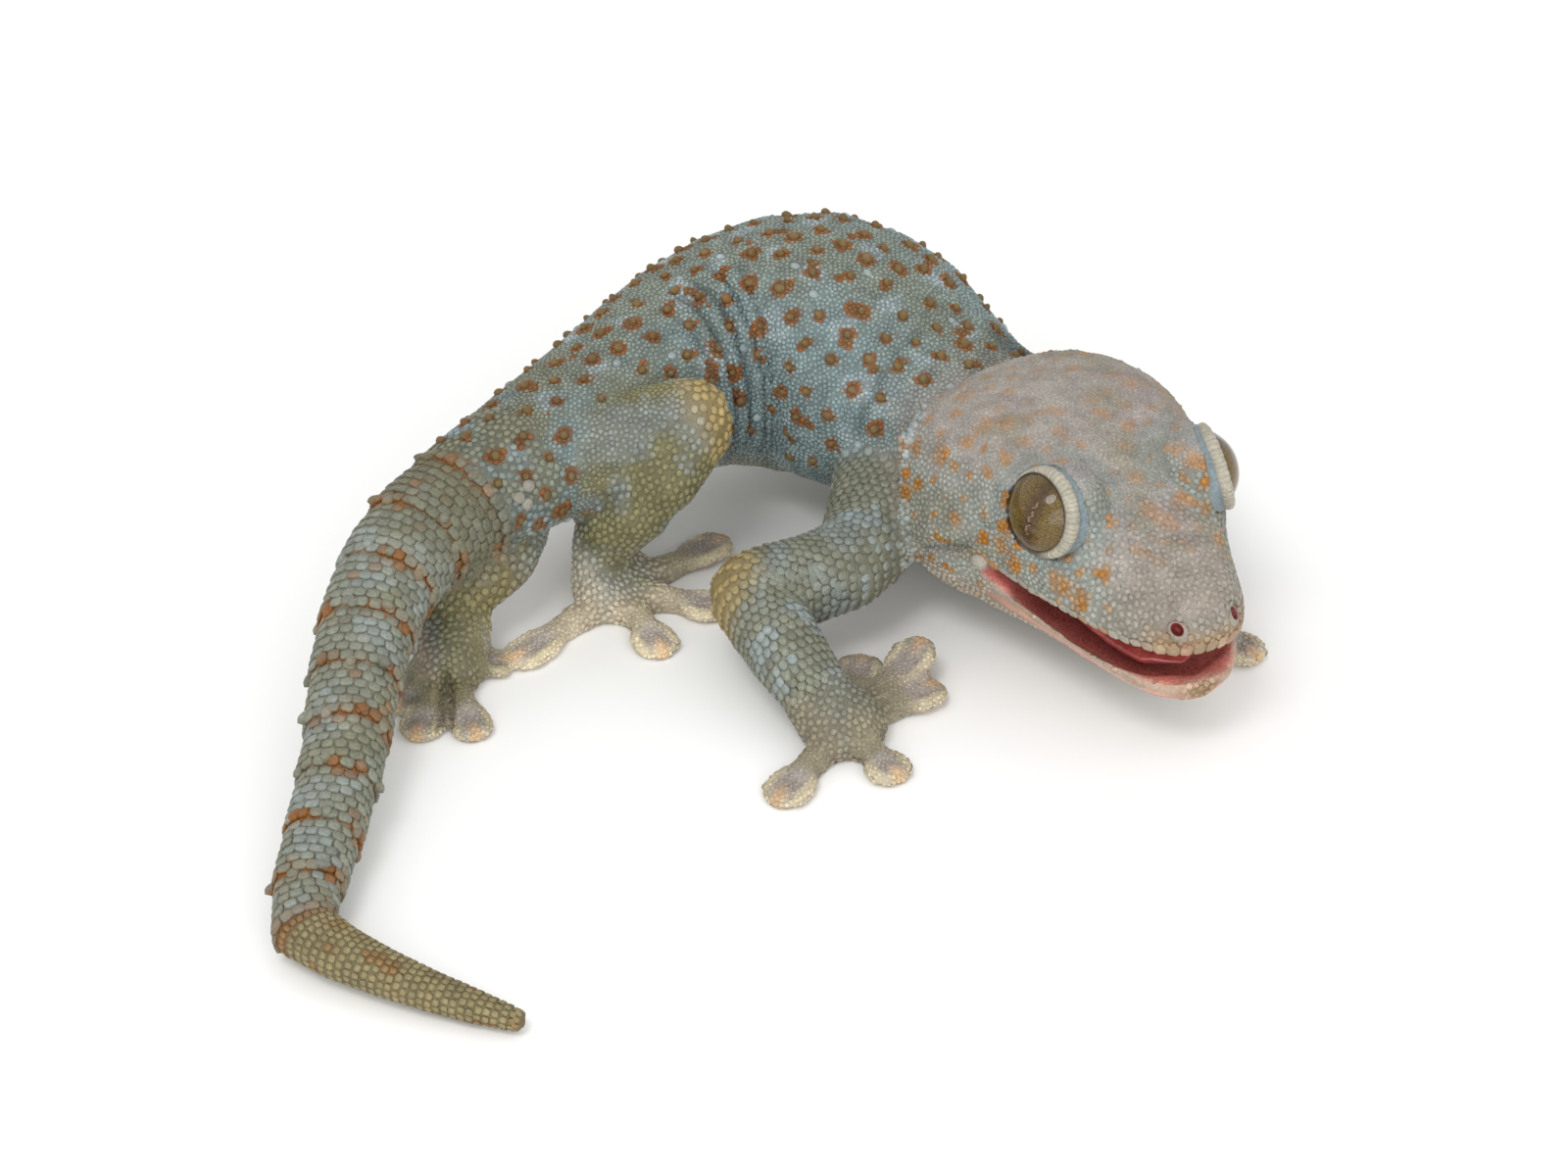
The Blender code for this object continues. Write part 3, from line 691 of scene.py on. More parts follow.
def welded(name, group):
    """Points and triangles of one solid of flesh, pushed a little out, but in at the slit of the mouth."""
    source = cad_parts[name].data
    place = places_of(source)
    _, same, back = np.unique(np.round(place, 3), axis=0, return_index=True, return_inverse=True)
    place = place[same]
    source.calc_loop_triangles()
    triangles = back.ravel()[read(source.loop_triangles, "vertices", 3, np.int32)]
    a, b, c = (place[triangles[:, corner]] for corner in range(3))
    normals = np.zeros_like(place)
    for corner in range(3):
        np.add.at(normals, triangles[:, corner], np.cross(b - a, c - a))
    normals = unit(normals)
    gape = to_head(place)
    slit = (gape[:, 0] > MOUTH_CORNER - 1.5) & (np.abs(gape[:, 2] - lip_height(gape[:, 0])) < 5.0)
    slit &= (np.abs(normals @ HEAD_AXES[:, 2]) > 0.6) & (group == "head")
    return place + normals * np.where(slit, SLIT_PUSH, SKIN_PUSH)[:, None], triangles


def wrapped_skin():
    """One closed skin round all the flesh: the solids joined, wrapped in fine faces and smoothed."""
    forms = [(NUMBER[group], *welded(name, group)) for group, names in GROUPS.items() for name in names]
    forms += [(NUMBER["head"], *orbit_shell(sign)) for sign in (1, -1)]
    firsts = np.cumsum([0] + [len(points) for _, points, _ in forms])
    owners = np.concatenate([np.full(len(triangles), number) for number, _, triangles in forms])
    points = np.vstack([points for _, points, _ in forms])
    faces = np.vstack([triangles + first for (_, _, triangles), first in zip(forms, firsts)])
    tree = BVHTree.FromPolygons(points.tolist(), faces.tolist())
    joined = shown("joined_flesh", mesh_from("joined_flesh", points, faces))
    remesh = joined.modifiers.new("wrap", "REMESH")
    remesh.mode = "VOXEL"
    remesh.voxel_size = SKIN_VOXEL * MM
    mesh = bpy.data.meshes.new_from_object(evaluated(joined))
    bpy.data.objects.remove(joined)
    place, web = places_of(mesh), Web(mesh)
    for _ in range(22):
        place = web.averaged(web.averaged(place, 1, 0.52), 1, -0.54)
    place = web.averaged(place, 2)
    group = np.array([owners[tree.find_nearest(point)[2]] for point in place.tolist()])
    shares = web.averaged(np.eye(len(GROUPS))[group], 14, 0.7)
    head = shares[:, NUMBER["head"]]
    nape = np.clip(4 * head * shares[:, NUMBER["trunk"]], 0, 1)[:, None]
    nape = web.averaged(nape, 10)
    for _ in range(30):
        place += nape * (web.averaged(place, 1, 0.6) - place)
    on_head = to_head(place)
    lips = smooth(3.2, 1.6, np.abs(on_head[:, 2] - lip_height(on_head[:, 0]))) * smooth(11.0, 13.0, on_head[:, 0])
    lips = (lips * (head > 0.5))[:, None]
    for _ in range(9):
        place += lips * (web.averaged(place, 1, 0.6) - place)
    moved_to(mesh, place)
    normals = normals_of(mesh)
    feet = shares[:, [NUMBER[f"foot_{which}"] for which in FEET]].sum(1)
    return mesh, web, place - normals * (COAT_DEPTH * (1 - feet))[:, None], normals, group, shares


def folded(at):
    """The skin's points with folds, pits and wrinkles pushed along its normals, and how far each is pushed."""
    place, along = at.place, at.along
    head, trunk, tail = (at.share[name] for name in ("head", "trunk", "tail"))
    push = head * (0.5 * hill(at.nostril, 2.1) - 2.3 * hill(at.nostril, 1.05))
    push -= head * 1.5 * hill(at.ear, 0.85)
    push += head * 0.7 * hill(segment_distance(at.both, EAR_RIDGE), 1.3)
    push += (head + trunk) * (0.55 + 0.5 * noise(place, 1.3, 71)) * 1.25 * hill(at.cheek, 0.9)
    push -= (head + trunk) * 1.3 * hill(segment_distance(at.both, BEHIND_CHEEK), 1.1)
    push -= 2.2 * hill(distance(place, FAR_NAPE), 5.5)
    push += head * 0.3 * hill(at.eye - 10.5, 1.3) * (at.z > 6)
    push += head * 0.35 * (rough_noise(place, 4.5, 3) - 0.5)
    inner = smooth(0.54, 0.44, at.turn) * smooth(0.10, 0.2, at.turn)
    warp = (along + 2.2 * (rough_noise(place, 9.0, 7) - 0.5)) * 2 * math.pi
    push += trunk * inner * hill(along - FLANK, 9.0) * (1.5 * (0.5 + 0.5 * np.cos(warp / 3.3)) ** 0.8 - 1.0)
    push += trunk * inner * hill(along - SHOULDER + 2, 5.0) * 0.7 * (np.cos(warp / 3.1) * 0.5 - 0.3)
    push += trunk * 0.3 * (rough_noise(place, 5.0, 11) - 0.5)
    phase = at.whorl % 1.0
    push += tail * (0.46 * phase - 0.3 - 0.36 * smooth(0.93, 1.0, phase))
    top, steep = smooth(0.1, 0.6, at.up), np.abs(at.up)
    for which in FEET:
        foot = at.share[f"foot_{which}"]
        share, offset, _ = toe_places(place, which)
        hollow = hill(share - 0.80, 0.13) * smooth(2.3, 1.1, np.abs(offset))
        push -= foot * top * 0.8 * hollow * (1 - 0.8 * hill(offset, 0.5) * smooth(0.7, 0.9, share))
        stem = smooth(0.28, 0.42, share) * smooth(0.66, 0.54, share)
        push -= 0.35 * foot * stem * smooth(0.7, 0.3, steep)
        if which == "hind_left":
            push -= foot * top * 2.4 * hill(segment_distance(place[:, :2], TOE_GAP), 0.8)
        else:
            push += foot * smooth(0.55, 0.75, share) * (0.1 + 0.4 * smooth(0.6, 0.2, steep))
        push += at.share[f"leg_{which}"] * 0.35 * (rough_noise(place, 3.2, 13) - 0.5)
    moved = place + at.normals * push[:, None]
    moved[:, 2] = np.maximum(moved[:, 2], SKIN_LOWEST)
    return moved, push


def sprinkled(skin, chosen, spacing, seed):
    """Points on the skin no closer to each other than the spacing, where the value chosen per vertex is 1."""
    layer = skin.data.attributes.new("chosen", "FLOAT", "POINT")
    layer.data.foreach_set("value", chosen.astype(np.float32))
    group = bpy.data.node_groups.new("sprinkle", "GeometryNodeTree")
    for in_out in ("INPUT", "OUTPUT"):
        group.interface.new_socket("Geometry", in_out=in_out, socket_type="NodeSocketGeometry")
    nodes, link = group.nodes, group.links.new
    start, end = nodes.new("NodeGroupInput"), nodes.new("NodeGroupOutput")
    scatter = nodes.new("GeometryNodeDistributePointsOnFaces")
    scatter.distribute_method = "POISSON"
    named = nodes.new("GeometryNodeInputNamedAttribute")
    named.data_type = "FLOAT"
    named.inputs["Name"].default_value = "chosen"
    dots = nodes.new("GeometryNodePointsToVertices")
    scatter.inputs["Distance Min"].default_value = spacing * MM
    scatter.inputs["Density Max"].default_value = 7.0 / (spacing * MM) ** 2
    scatter.inputs["Seed"].default_value = seed
    link(start.outputs[0], scatter.inputs["Mesh"])
    link(named.outputs["Attribute"], scatter.inputs["Density Factor"])
    link(scatter.outputs["Points"], dots.inputs[0])
    link(dots.outputs[0], end.inputs[0])
    modifier = skin.modifiers.new("sprinkle", "NODES")
    modifier.node_group = group
    dotted = evaluated(skin)
    points = places_of(dotted.to_mesh())
    dotted.to_mesh_clear()
    skin.modifiers.remove(modifier)
    bpy.data.node_groups.remove(group)
    skin.data.attributes.remove(skin.data.attributes["chosen"])
    return points


def tree_of(points):
    tree = KDTree(len(points))
    for i, point in enumerate(points.tolist()):
        tree.insert(point, i)
    tree.balance()
    return tree


def nearest_of(points, targets):
    """Index of the nearest target, and how far it is, for each point."""
    tree = tree_of(targets)
    found = [tree.find(point) for point in points.tolist()]
    return np.array([f[1] for f in found]), np.array([f[2] for f in found])


def spotted(place, centres, sizes, ragged, grain, seed):
    """How much each point lies in a spot, from 0 to 1, and how far from the spot's middle in spot radii.

    Each spot is drawn out towards a second centre, and its edge wanders with noise.
    """
    drawn_out = centres + rng.normal(0, 0.75, centres.shape) * sizes[:, None]
    which_spot, apart = nearest_of(place, np.vstack([centres, drawn_out]))
    size = np.concatenate([sizes, sizes * 0.8])[which_spot]
    reach = apart / size + ragged * (rough_noise(place, grain, seed) - 0.5)
    return smooth(1.12, 0.88, reach), reach


def layered(colours, *layers):
    """Colours with others laid over them in turn, each by its share per point."""
    for target, share in layers:
        colours = colours + (target - colours) * np.clip(share, 0, 1)[:, None]
    return colours


def shaded(colours, factor):
    return colours * factor[:, None]


def trunk_colours(at, push, spots, patches):
    near_head = smooth(-15.0, -5.0, at.x) * smooth(24.0, 17.0, at.both[:, 1])
    hindward = smooth(FLANK, VENT, at.along)
    trunk = layered(
        BLUE,
        (OLIVE, smooth(0.66, 0.95, at.dorsal + 0.35 * (at.coarse - 0.5)) * 0.5),
        (HEAD_TOP, 0.7 * near_head * smooth(0.2, 0.6, at.up)),
        (OLIVE, 0.75 * hindward * smooth(0.3, 0.6, at.coarse)),
        (BELLY, smooth(0.34, 0.16, at.dorsal)),
        (PALE, patches * 0.6),
    )
    # Painted shade: the skin is made up to 45 % darker in the creases of the flank folds, where it is pushed in
    # most.
    fold_shade = smooth(-0.2, -0.9, push)
    trunk = shaded(trunk, (0.80 + 0.56 * at.mottle) * (1 - 0.45 * fold_shade) * (1 - 0.16 * hindward))
    in_spot, reach = spots
    tone = layered(
        RUST,
        (TUBERCLE, smooth(0.85, 0.3, reach) * smooth(0.2, 0.55, at.coarse)),
        (ORANGE, smooth(0.6, 0.95, reach) * 0.5),
    )
    in_spot = in_spot * smooth(0.26, 0.40, at.dorsal)
    trunk = layered(trunk, (shaded(tone, (0.74 + 0.48 * at.mottle) * (1 - 0.25 * hindward)), in_spot * 0.9))
    return trunk, layered(trunk * 0.62, (ORANGE * 0.6, in_spot * 0.5))


def head_colours(at, lip_edge, spots):
    lilac = smooth(0.5, 0.7, rough_noise(at.place, 9.0, 29)) * smooth(0.4, 0.8, at.up)
    head = layered(
        HEAD_SIDE,
        (HEAD_TOP, smooth(0.3, 0.8, at.up + 0.5 * (at.coarse - 0.5))),
        (OLIVE, 0.4 * smooth(0.5, 0.7, at.coarse)),
        (LILAC, 0.5 * lilac),
        (SNOUT, smooth(30, 42, at.x) * 0.75),
        (LIP, smooth(2.6, 0.6, np.abs(at.above_lip + 0.4)) * smooth(12, 20, at.x)),
        # Pale chin under the jaw, its colour made 12 % lighter as painted light where the jaw lies in shadow.
        (LIP * 1.12, smooth(-2.5, -7.0, at.z) * 0.85),
        (SNOUT_TAN, smooth(39.5, 44.0, at.x) * smooth(5.5, 2.5, at.z) * 0.9),
        (BLUE, smooth(9.5, 7.8, at.eye) * 0.3),
    )
    keep = smooth(39, 33, at.x) * smooth(-9, -5, at.z) * (0.4 + 0.6 * smooth(0.9, 0.5, at.up))
    head = layered(
        shaded(head, 0.84 + 0.32 * at.mottle),
        (PALE * 1.15, smooth(1.3, 0.3, at.cheek) * 0.85),
        (HEAD_ORANGE, smooth(1.45, 0.6, spots[1]) * keep * (0.5 + 0.5 * smooth(0.35, 0.65, at.mottle))),
        (NOSTRIL_EDGE, smooth(1.35, 0.9, at.nostril)),
        # Painted shade: the carved ear pit is painted dark, as the opening would look in shade.
        (EAR_DARK, smooth(0.8, 0.3, at.ear) * 0.8),
        (LOWER_LIP, lip_edge * smooth(-1.2, -1.9, at.above_lip) * (0.35 + 0.65 * smooth(16, 26, at.x))),
        mouth(at),
    )
    return head, shaded(head, 0.74 + 0.16 * smooth(0.5, 0.8, at.up))


def mouth(at):
    """The colours inside the mouth, pale along the inside of the lower lip, with painted shade that darkens the red
    deeper in and further back, and how far each point lies inside.
    """
    inset = np.interp(at.x, *MOUTH_HALF_WIDTH) - at.both[:, 1]
    bottom = -(at.x - JAW_HINGE) * math.sin(JAW_DROP) - 3.4
    ahead = smooth(SNOUT_TIP - 0.4, SNOUT_TIP - 2.6, at.x) * smooth(14.5, 16.5, at.x)
    inside = smooth(0.55, 1.2, inset) * ahead * (at.above_lip < 2.4) * (at.above_lip > bottom)
    tone = layered(
        MOUTH_RED,
        # Painted shade: the mouth's red is darker deeper into the mouth and further back, where its inside lies in
        # shade.
        (MOUTH_SHADED, smooth(0.5, 5.0, inset) * smooth(42, 34, at.x)),
        (MOUTH_EDGE, smooth(1.9, 0.9, inset) * (at.above_lip < -0.6) * smooth(15, 24, at.x)),
    )
    return tone, inside


def tail_colours(at):
    phase = at.whorl % 1.0
    band = smooth(0.74, 0.9, phase + 0.5 * (at.mottle - 0.5)) + smooth(0.12, 0.0, phase)
    round_it = np.column_stack([at.turn * 8.0, np.floor(at.whorl + 0.5) * 3.1, 0 * at.turn])
    gate = smooth(0.38, 0.5, noise(round_it, 1.0, 31))
    flecks = smooth(0.63, 0.71, rough_noise(at.place * [1, 1, 1.3], 2.0, 61))
    rust = np.clip(band * gate, 0, 1) * smooth(0.16, 0.3, at.dorsal)
    rust = np.maximum(rust, flecks * 0.55 * smooth(0.2, 0.4, at.dorsal))
    pale_at = smooth(0.45, 0.7, rough_noise(at.place, 4.6, 73)) * smooth(VENT, TAIL_ROOT + 6, at.along)
    tail = layered(
        shaded(TAIL_GREY, 0.68 + 0.42 * at.mottle),
        (OLIVE * 0.9, smooth(0.55, 0.8, at.coarse) * 0.5),
        (OLIVE * 0.66, 0.9 * smooth(TAIL_ROOT + 12, VENT, at.along)),
        (PALE * 0.92, 0.36 * pale_at * (1 - rust)),
        (RUST * 1.1, rust * (0.16 + 0.7 * smooth(0.48, 0.62, rough_noise(at.place, 1.5, 67)))),
        (BELLY, smooth(0.2, 0.08, at.dorsal)),
    )
    rusty_joint = np.clip(band * smooth(-0.2, 0.25, gate), 0, 1) * 0.95
    return tail, layered(tail * 0.55 + TAIL_JOINT * 0.38, (RUST * 1.1, rusty_joint))


def regrown_colours(at):
    grown = layered(
        shaded(REGROWN, 0.86 + 0.26 * at.mottle),
        (RUST, smooth(0.68, 0.8, at.mottle + 0.1 * at.coarse) * 0.5),
        (RUST, smooth(2.2, 0.6, at.along - STUMP) * 0.75),
    )
    return grown, grown * 0.6


def leg_colours(at, which):
    hind = which.startswith("hind")
    olive, olive_from, pale, light = (1.0, 0.28, 0.35, 0.98) if hind else (0.45, 0.38, 0.6, 0.93)
    leg = layered(
        LEG_GREY,
        (LEG_OLIVE, olive * smooth(olive_from, 0.55, at.coarse)),
        (PALE * 0.92, smooth(0.6, 0.75, rough_noise(at.place, 4.2, 37)) * pale),
    )
    near_joint = distance(at.place, JOINTS[which]) + 3 * (at.mottle - 0.5)
    leg = layered(
        shaded(leg, 0.78 + 0.44 * at.mottle),
        (KNEE_TAN, smooth(8.5, 4.0, near_joint) * (0.25 if which == "hind_left" else 0.9)),
        (BELLY, smooth(-0.35, -0.8, at.up) * 0.7),
    )
    return leg * light, leg * light * 0.5 + LEG_JOINT * 0.25


def foot_colours(at, which):
    share, offset, _ = toe_places(at.place, which)
    pad, aside = smooth(0.55, 0.74, share), np.abs(offset)
    foot = layered(
        shaded(FOOT, 0.88 + 0.24 * at.mottle),
        (LEG_GREY * 0.9, smooth(0.4, 0.1, share) * 0.75),
        (LEG_OLIVE, (0.8 if which == "hind_left" else 0.3) * smooth(0.35, 0.6, at.coarse)),
        (PAD_GREY, pad * smooth(2.3, 1.0, aside) * 0.75),
        (TOE_RIM, pad * smooth(1.4, 2.3, aside) * 0.7),
        (TOE_RIM, smooth(0.93, 1.02, share) * 0.8),
        (TOE_TIP, smooth(0.80, 0.97, share) * smooth(1.3, 0.4, aside) * 0.6),
        (LIP, smooth(0.1, -0.5, at.up) * 0.7),
    )
    # Painted light: the right hind foot is made 1.55 times as light against the shadow that the body casts on it.
    light, pad_light = (1.55, 0.1) if which == "hind_right" else (0.92, 0.4)
    foot = shaded(foot, light * (1 + pad_light * pad))
    return foot, shaded(foot, 0.66 + 0.2 * smooth(0.3, 0.5, share))


def markings(at, push, lip_edge, spots, head_spots, patches):
    """The gecko's colours at points of its skin, those of the joints between its scales, and how wet it is."""
    kinds = {
        "trunk": trunk_colours(at, push, spots, patches),
        "head": head_colours(at, lip_edge, head_spots),
        "tail": tail_colours(at),
        "regrown": regrown_colours(at),
    }
    for which in LEGS:
        kinds[f"leg_{which}"] = leg_colours(at, which)
        kinds[f"foot_{which}"] = foot_colours(at, which)
    colours, joints = (sum(shaded(kind[i], at.share[name]) for name, kind in kinds.items()) for i in (0, 1))
    wet = mouth(at)[1] * at.share["head"]
    return colours, layered(joints, (colours, wet)), wet


def scale_mesh(
    name, roots, normals, lies, across, along, height, colours, joints, chart, tilt, sides, power, levels
):
    """Many small domes or plates as one mesh, each with its rim in the skin and its own patch of the chart."""
    count = len(roots)
    turns = (np.arange(sides) + 0.5) * 2 * math.pi / sides
    ring = np.column_stack([np.sign(f(turns)) * np.abs(f(turns)) ** (2 / power) for f in (np.cos, np.sin)])
    lies = unit(lies - normals * (lies * normals).sum(1)[:, None])
    widths = np.cross(lies, normals)
    rings, local, shade = [], [], []
    for size, level in levels:
        shape = ring * size if size else np.zeros((1, 2))
        x, y = shape[:, 0], shape[:, 1]
        place = roots[:, None] + widths[:, None] * (x * across[:, None])[:, :, None]
        place = place + lies[:, None] * (y * along[:, None])[:, :, None]
        lift = height[:, None] * level + (tilt * along)[:, None] * y * (level > 0)
        rings.append(place + normals[:, None] * lift[:, :, None])
        local.append(np.tile(shape, (count, 1, 1)))
        # Painted shading of each dome: its middle point is 4 % lighter and the rings round it 3 % darker than its
        # colour; the sunk rim takes the joints' colour.
        tone = joints if level <= 0 else colours * (1.04 if size == 0 else 0.97)
        shade.append(np.repeat(tone[:, None], len(shape), axis=1))
    points = np.concatenate(rings, axis=1)
    per = points.shape[1]
    base = (np.arange(count) * per)[:, None, None]
    step = np.arange(sides)
    last = (len(levels) - 2) * sides
    quads = (base + rings_joined(len(levels) - 1, sides).reshape(-1, 4)).reshape(-1, 4)
    tips = np.stack([last + step, last + (step + 1) % sides, np.full(sides, per - 1)], axis=1)
    soles = (base[:, 0] + step[::-1]).reshape(-1, sides)
    mesh = mesh_from(name, points.reshape(-1, 3), quads, (base + tips).reshape(-1, 3), soles)
    painted(mesh, np.concatenate(shade, axis=1).reshape(-1, 3))
    patch = PATCH / 2 * np.concatenate(local, axis=1) + chart[:, None]
    corners = read(mesh.loops, "vertex_index", 1, np.int32)
    layer = mesh.uv_layers.new(name="OFBake")
    layer.data.foreach_set("uv", patch.reshape(-1, 2)[corners].astype(np.float32).ravel())
    return mesh


class Coat:
    """Lays scales on the finished skin: finds their roots, colours, lie and charts, and makes the pieces."""

    def __init__(self, skin, place, normals, group, colours, joints):
        self.place, self.normals, self.group, self.colours, self.joints = place, normals, group, colours, joints
        self.tree = tree_of(place)
        polygons = read(skin.data.loops, "vertex_index", 1, np.int32)
        totals = read(skin.data.polygons, "loop_total", 1, np.int32)
        faces = np.split(polygons, np.cumsum(totals)[:-1])
        self.bvh = BVHTree.FromPolygons(place.tolist(), [face.tolist() for face in faces])

    def roots(self, points):
        """Nearest skin vertices of the points."""
        return np.array([self.tree.find(point)[1] for point in points.tolist()], int)

    def toned(self, points, target, share):
        """The skin's colours at the points, with another laid over them."""
        return layered(self.colours[self.roots(points)], (target * TONE, share))

    def hit(self, start, out, reach):
        """Where a ray meets the skin, and how far from its start, or None twice."""
        place, _, _, apart = self.bvh.ray_cast(Vector(start), Vector(out), reach)
        return place, apart

    def lay(
        self, name, group, points, sizes, height, tilt=0.0, slot="skin", lies=None, own=None, sides=6, power=2.0,
        levels=GRAIN,
    ):
        """Scales at points of one group. sizes is half across and half along; height stands above the skin."""
        if not len(points):
            return
        at = self.roots(points)
        share, turn, lie = measured(points, group)
        lie = lie if lies is None else lies
        order = np.argsort(share, kind="stable")
        points, at, share, turn, lie = (values[order] for values in (points, at, share, turn, lie))
        sizes = (np.broadcast_to(np.asarray(size, float), len(points)) for size in (*sizes, height))
        across, along, height = (size[order] for size in sizes)
        vary = rng.normal(1.0, 0.055, len(points))
        colours = shaded(self.colours[at] if own is None else own[order], vary)
        lie = lie + rng.normal(0.0, 0.12, (len(points), 3))
        across = across * rng.normal(1.0, 0.06, len(points))
        parts = (points, unit(self.normals[at]), lie, across, along, height, colours, self.joints[at])
        pieces = max(1, math.ceil(len(points) / MOST_IN_PIECE))
        for number, block in enumerate(np.array_split(np.arange(len(points)), pieces), 1):
            low, high = share[block].min(), share[block].max()
            chart = np.column_stack([(share[block] - low) / max(high - low, 1e-6), turn[block]])
            chart = CHART_EDGE + chart * (1 - 2 * CHART_EDGE)
            title = name if pieces == 1 else f"{name}_{number}"
            mesh = scale_mesh(title, *(part[block] for part in parts), chart, tilt, sides, power, levels)
            added(title, mesh, SCALES, slot)

    def ringed(self, route, first, last, row_step, across_step, group, jitter=0.06):
        """Roots on one group in staggered rings round a route, row after row: points and sizes across."""
        points, widths = [], []
        for row, gone in enumerate(np.arange(first, last, row_step)):
            ahead, side, up = (v[0] for v in route.frames(np.array([gone])))
            middle = route.at(gone)
            radius = float(np.interp(gone, route.along, route.width))
            count = max(6, round(2 * math.pi * radius / across_step))
            for k in range(count):
                angle = 2 * math.pi * (k + 0.5 * (row % 2) + rng.uniform(-jitter, jitter)) / count
                out = side * math.cos(angle) + up * math.sin(angle)
                start = middle + ahead * rng.uniform(-jitter, jitter) * row_step
                place, apart = self.hit(start, out, radius * 2.2)
                if place is not None:
                    points.append(place)
                    widths.append(2 * math.pi * apart / count)
        points = np.array(points)
        kept = self.group[self.roots(points)] == NUMBER[group]
        return points[kept], np.array(widths)[kept]


def away_from(points, centres, least):
    """Which points are at least so far from all the centres."""
    return nearest_of(points, centres)[1] > least


def eye_ball(side, sign):
    """One eye ball, with the place of its iris stored on it."""
    faces = unit(mirrored(IRIS_FACES, sign))
    upward = unit(np.array([-0.05, 0.0, 1.0]) - faces * faces[2])
    across = np.cross(upward, faces)
    longs, rings = ((96, 64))
    round_it = circle(whole_turn(longs), across, upward)
    polar = np.linspace(0, math.pi, rings + 1)[1:-1]
    ball = np.vstack([faces, *(circle(np.full(longs, angle), faces, round_it) for angle in polar), -faces])
    quads = 1 + rings_joined(rings - 1, longs).reshape(-1, 4)[:, [0, 3, 2, 1]]
    step, following, end = 1 + np.arange(longs), 1 + (np.arange(longs) + 1) % longs, len(ball) - 1
    caps = [(0 * step, step, following), (0 * step + end, end - longs - 1 + following, end - longs - 1 + step)]
    caps = np.concatenate([np.stack(cap, axis=1) for cap in caps])
    bulged = ball * EYE_RADIUS * (1 + 0.02 * smooth(0.75, 1.0, ball @ faces))[:, None]
    mesh = mesh_from(f"eye_ball_{side}", from_head(mirrored(EYE_CENTRE, sign) + bulged), quads, caps)
    if sign > 0:
        mesh.flip_normals()
    place = mesh.attributes.new("eye_place", "FLOAT_VECTOR", "POINT")
    stored = ball @ np.column_stack([across, upward, faces]) * EYE_RADIUS
    place.data.foreach_set("vector", stored.astype(np.float32).ravel())
    added(f"eye_ball_{side}", mesh, EYE, "eye", f"eye_{side}")


def eyelid(side, sign):
    """The grooved rim of lid skin round one eye."""
    centre = mirrored(EYE_CENTRE, sign)
    axis, up, front = eye_axes(sign)
    count = 480
    turns = whole_turn(count)
    opening, ridge_width, crescent, ahead = lid_angles(turns)
    low = smooth(0.5, -0.9, np.sin(turns)) * smooth(0.9, 0.2, ahead)
    grooves = np.abs(np.sin(turns * 30 + 0.8 * np.sin(turns * 7))) ** 0.6
    teeth = np.abs(np.sin(turns * 13 + 0.8))
    rows, tones = [], []
    for reach, height in LID_PROFILE:
        spread = opening + ridge_width * min(reach, 1.0) + (crescent + math.radians(14)) * max(0.0, reach - 1.0)
        if 0.0 < reach < 1.0:
            high = height * (0.3 + 0.9 * ahead) + 0.09 * (grooves - 0.6) + 0.12 * teeth * ahead
            # The ridge is pale and painted darker in its grooves as painted shade; LID_DARK is laid over its lower
            # back part.
            tone = layered(shaded(LID_PALE, 0.74 + 0.26 * grooves), (LID_DARK, low * 0.8))
        else:
            high = np.full(count, height)
            # The rows at and under the ball's surface are dark as painted shade in the crease where the lid meets
            # the ball; the rows behind the ridge are blue skin.
            tone = np.tile(LID_DARK if reach <= 0 else LID_BLUE, (count, 1))
        rows.append(centre + shaded(circle(spread, axis, circle(turns, front, up)), EYE_RADIUS + high))
        tones.append(tone)
    points, quads = np.concatenate(rows), rings_joined(len(rows), count, closed=True).reshape(-1, 4)
    mesh = mesh_from(f"eyelid_{side}", from_head(points), quads)
    painted(mesh, np.concatenate(tones))
    mesh.validate()
    turned_out(mesh, 3 * count, HEAD_AXES @ (points[3 * count] - centre))
    added(f"eyelid_{side}", mesh, LID, "head_skin")


def nostril_piece(side, sign):
    """The red hollow of one nostril and the pale rim round it, set into the snout."""
    normal = unit(HEAD_AXES @ mirrored(NOSTRIL_FACES, sign))
    ahead = unit(HEAD_AXES[:, 0] - normal * (HEAD_AXES[:, 0] @ normal))
    hit, _ = coat.hit(from_head(mirrored(NOSTRIL, sign)) + normal * 4, -normal, 9.0)
    base = np.array(hit) + normal * 1.15
    count = 48
    ring = circle(whole_turn(count), ahead * 1.3, np.cross(normal, ahead))
    rows, tones, damp = [], [], []
    for radius, level in NOSTRIL_PROFILE:
        rows.append(base + ring * radius + normal * level)
        # The hollow is red, darkest at its middle as painted shade deep in the nostril.
        red = NOSTRIL_RED * (0.55 + 0.6 * radius)
        tones.append(np.tile(red if radius < 0.7 else SNOUT * TONE * 0.9, (count, 1)))
        damp.append(np.full(count, 1.0 if radius < 0.8 else 0.0))
    step = np.arange(count)
    points = np.vstack([*rows, rows[0].mean(0)])
    fan = np.stack([(step + 1) % count, step, np.full(count, len(points) - 1)], axis=1)
    mesh = mesh_from(f"nostril_{side}", points, rings_joined(len(rows), count).reshape(-1, 4), fan)
    painted(mesh, np.vstack([*tones, tones[0][:1]]), np.concatenate([*damp, [1.0]]))
    turned_out(mesh, -1, normal)
    added(f"nostril_{side}", mesh, LID, "head_skin")


def tongue_piece():
    obj = shown("tongue_form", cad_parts["tongue"].data.copy())
    for kind, settings in (
        ("WELD", {"merge_threshold": 0.01 * MM}),
        ("REMESH", {"mode": "VOXEL", "voxel_size": 0.4 * MM}),
        ("SMOOTH", {"iterations": 8}),
    ):
        modifier = obj.modifiers.new(kind, kind)
        for name, value in settings.items():
            setattr(modifier, name, value)
    mesh = bpy.data.meshes.new_from_object(evaluated(obj))
    bpy.data.objects.remove(obj)
    mesh.shade_smooth()
    added("tongue_flesh", mesh, TONGUE, "mouth", "tongue")


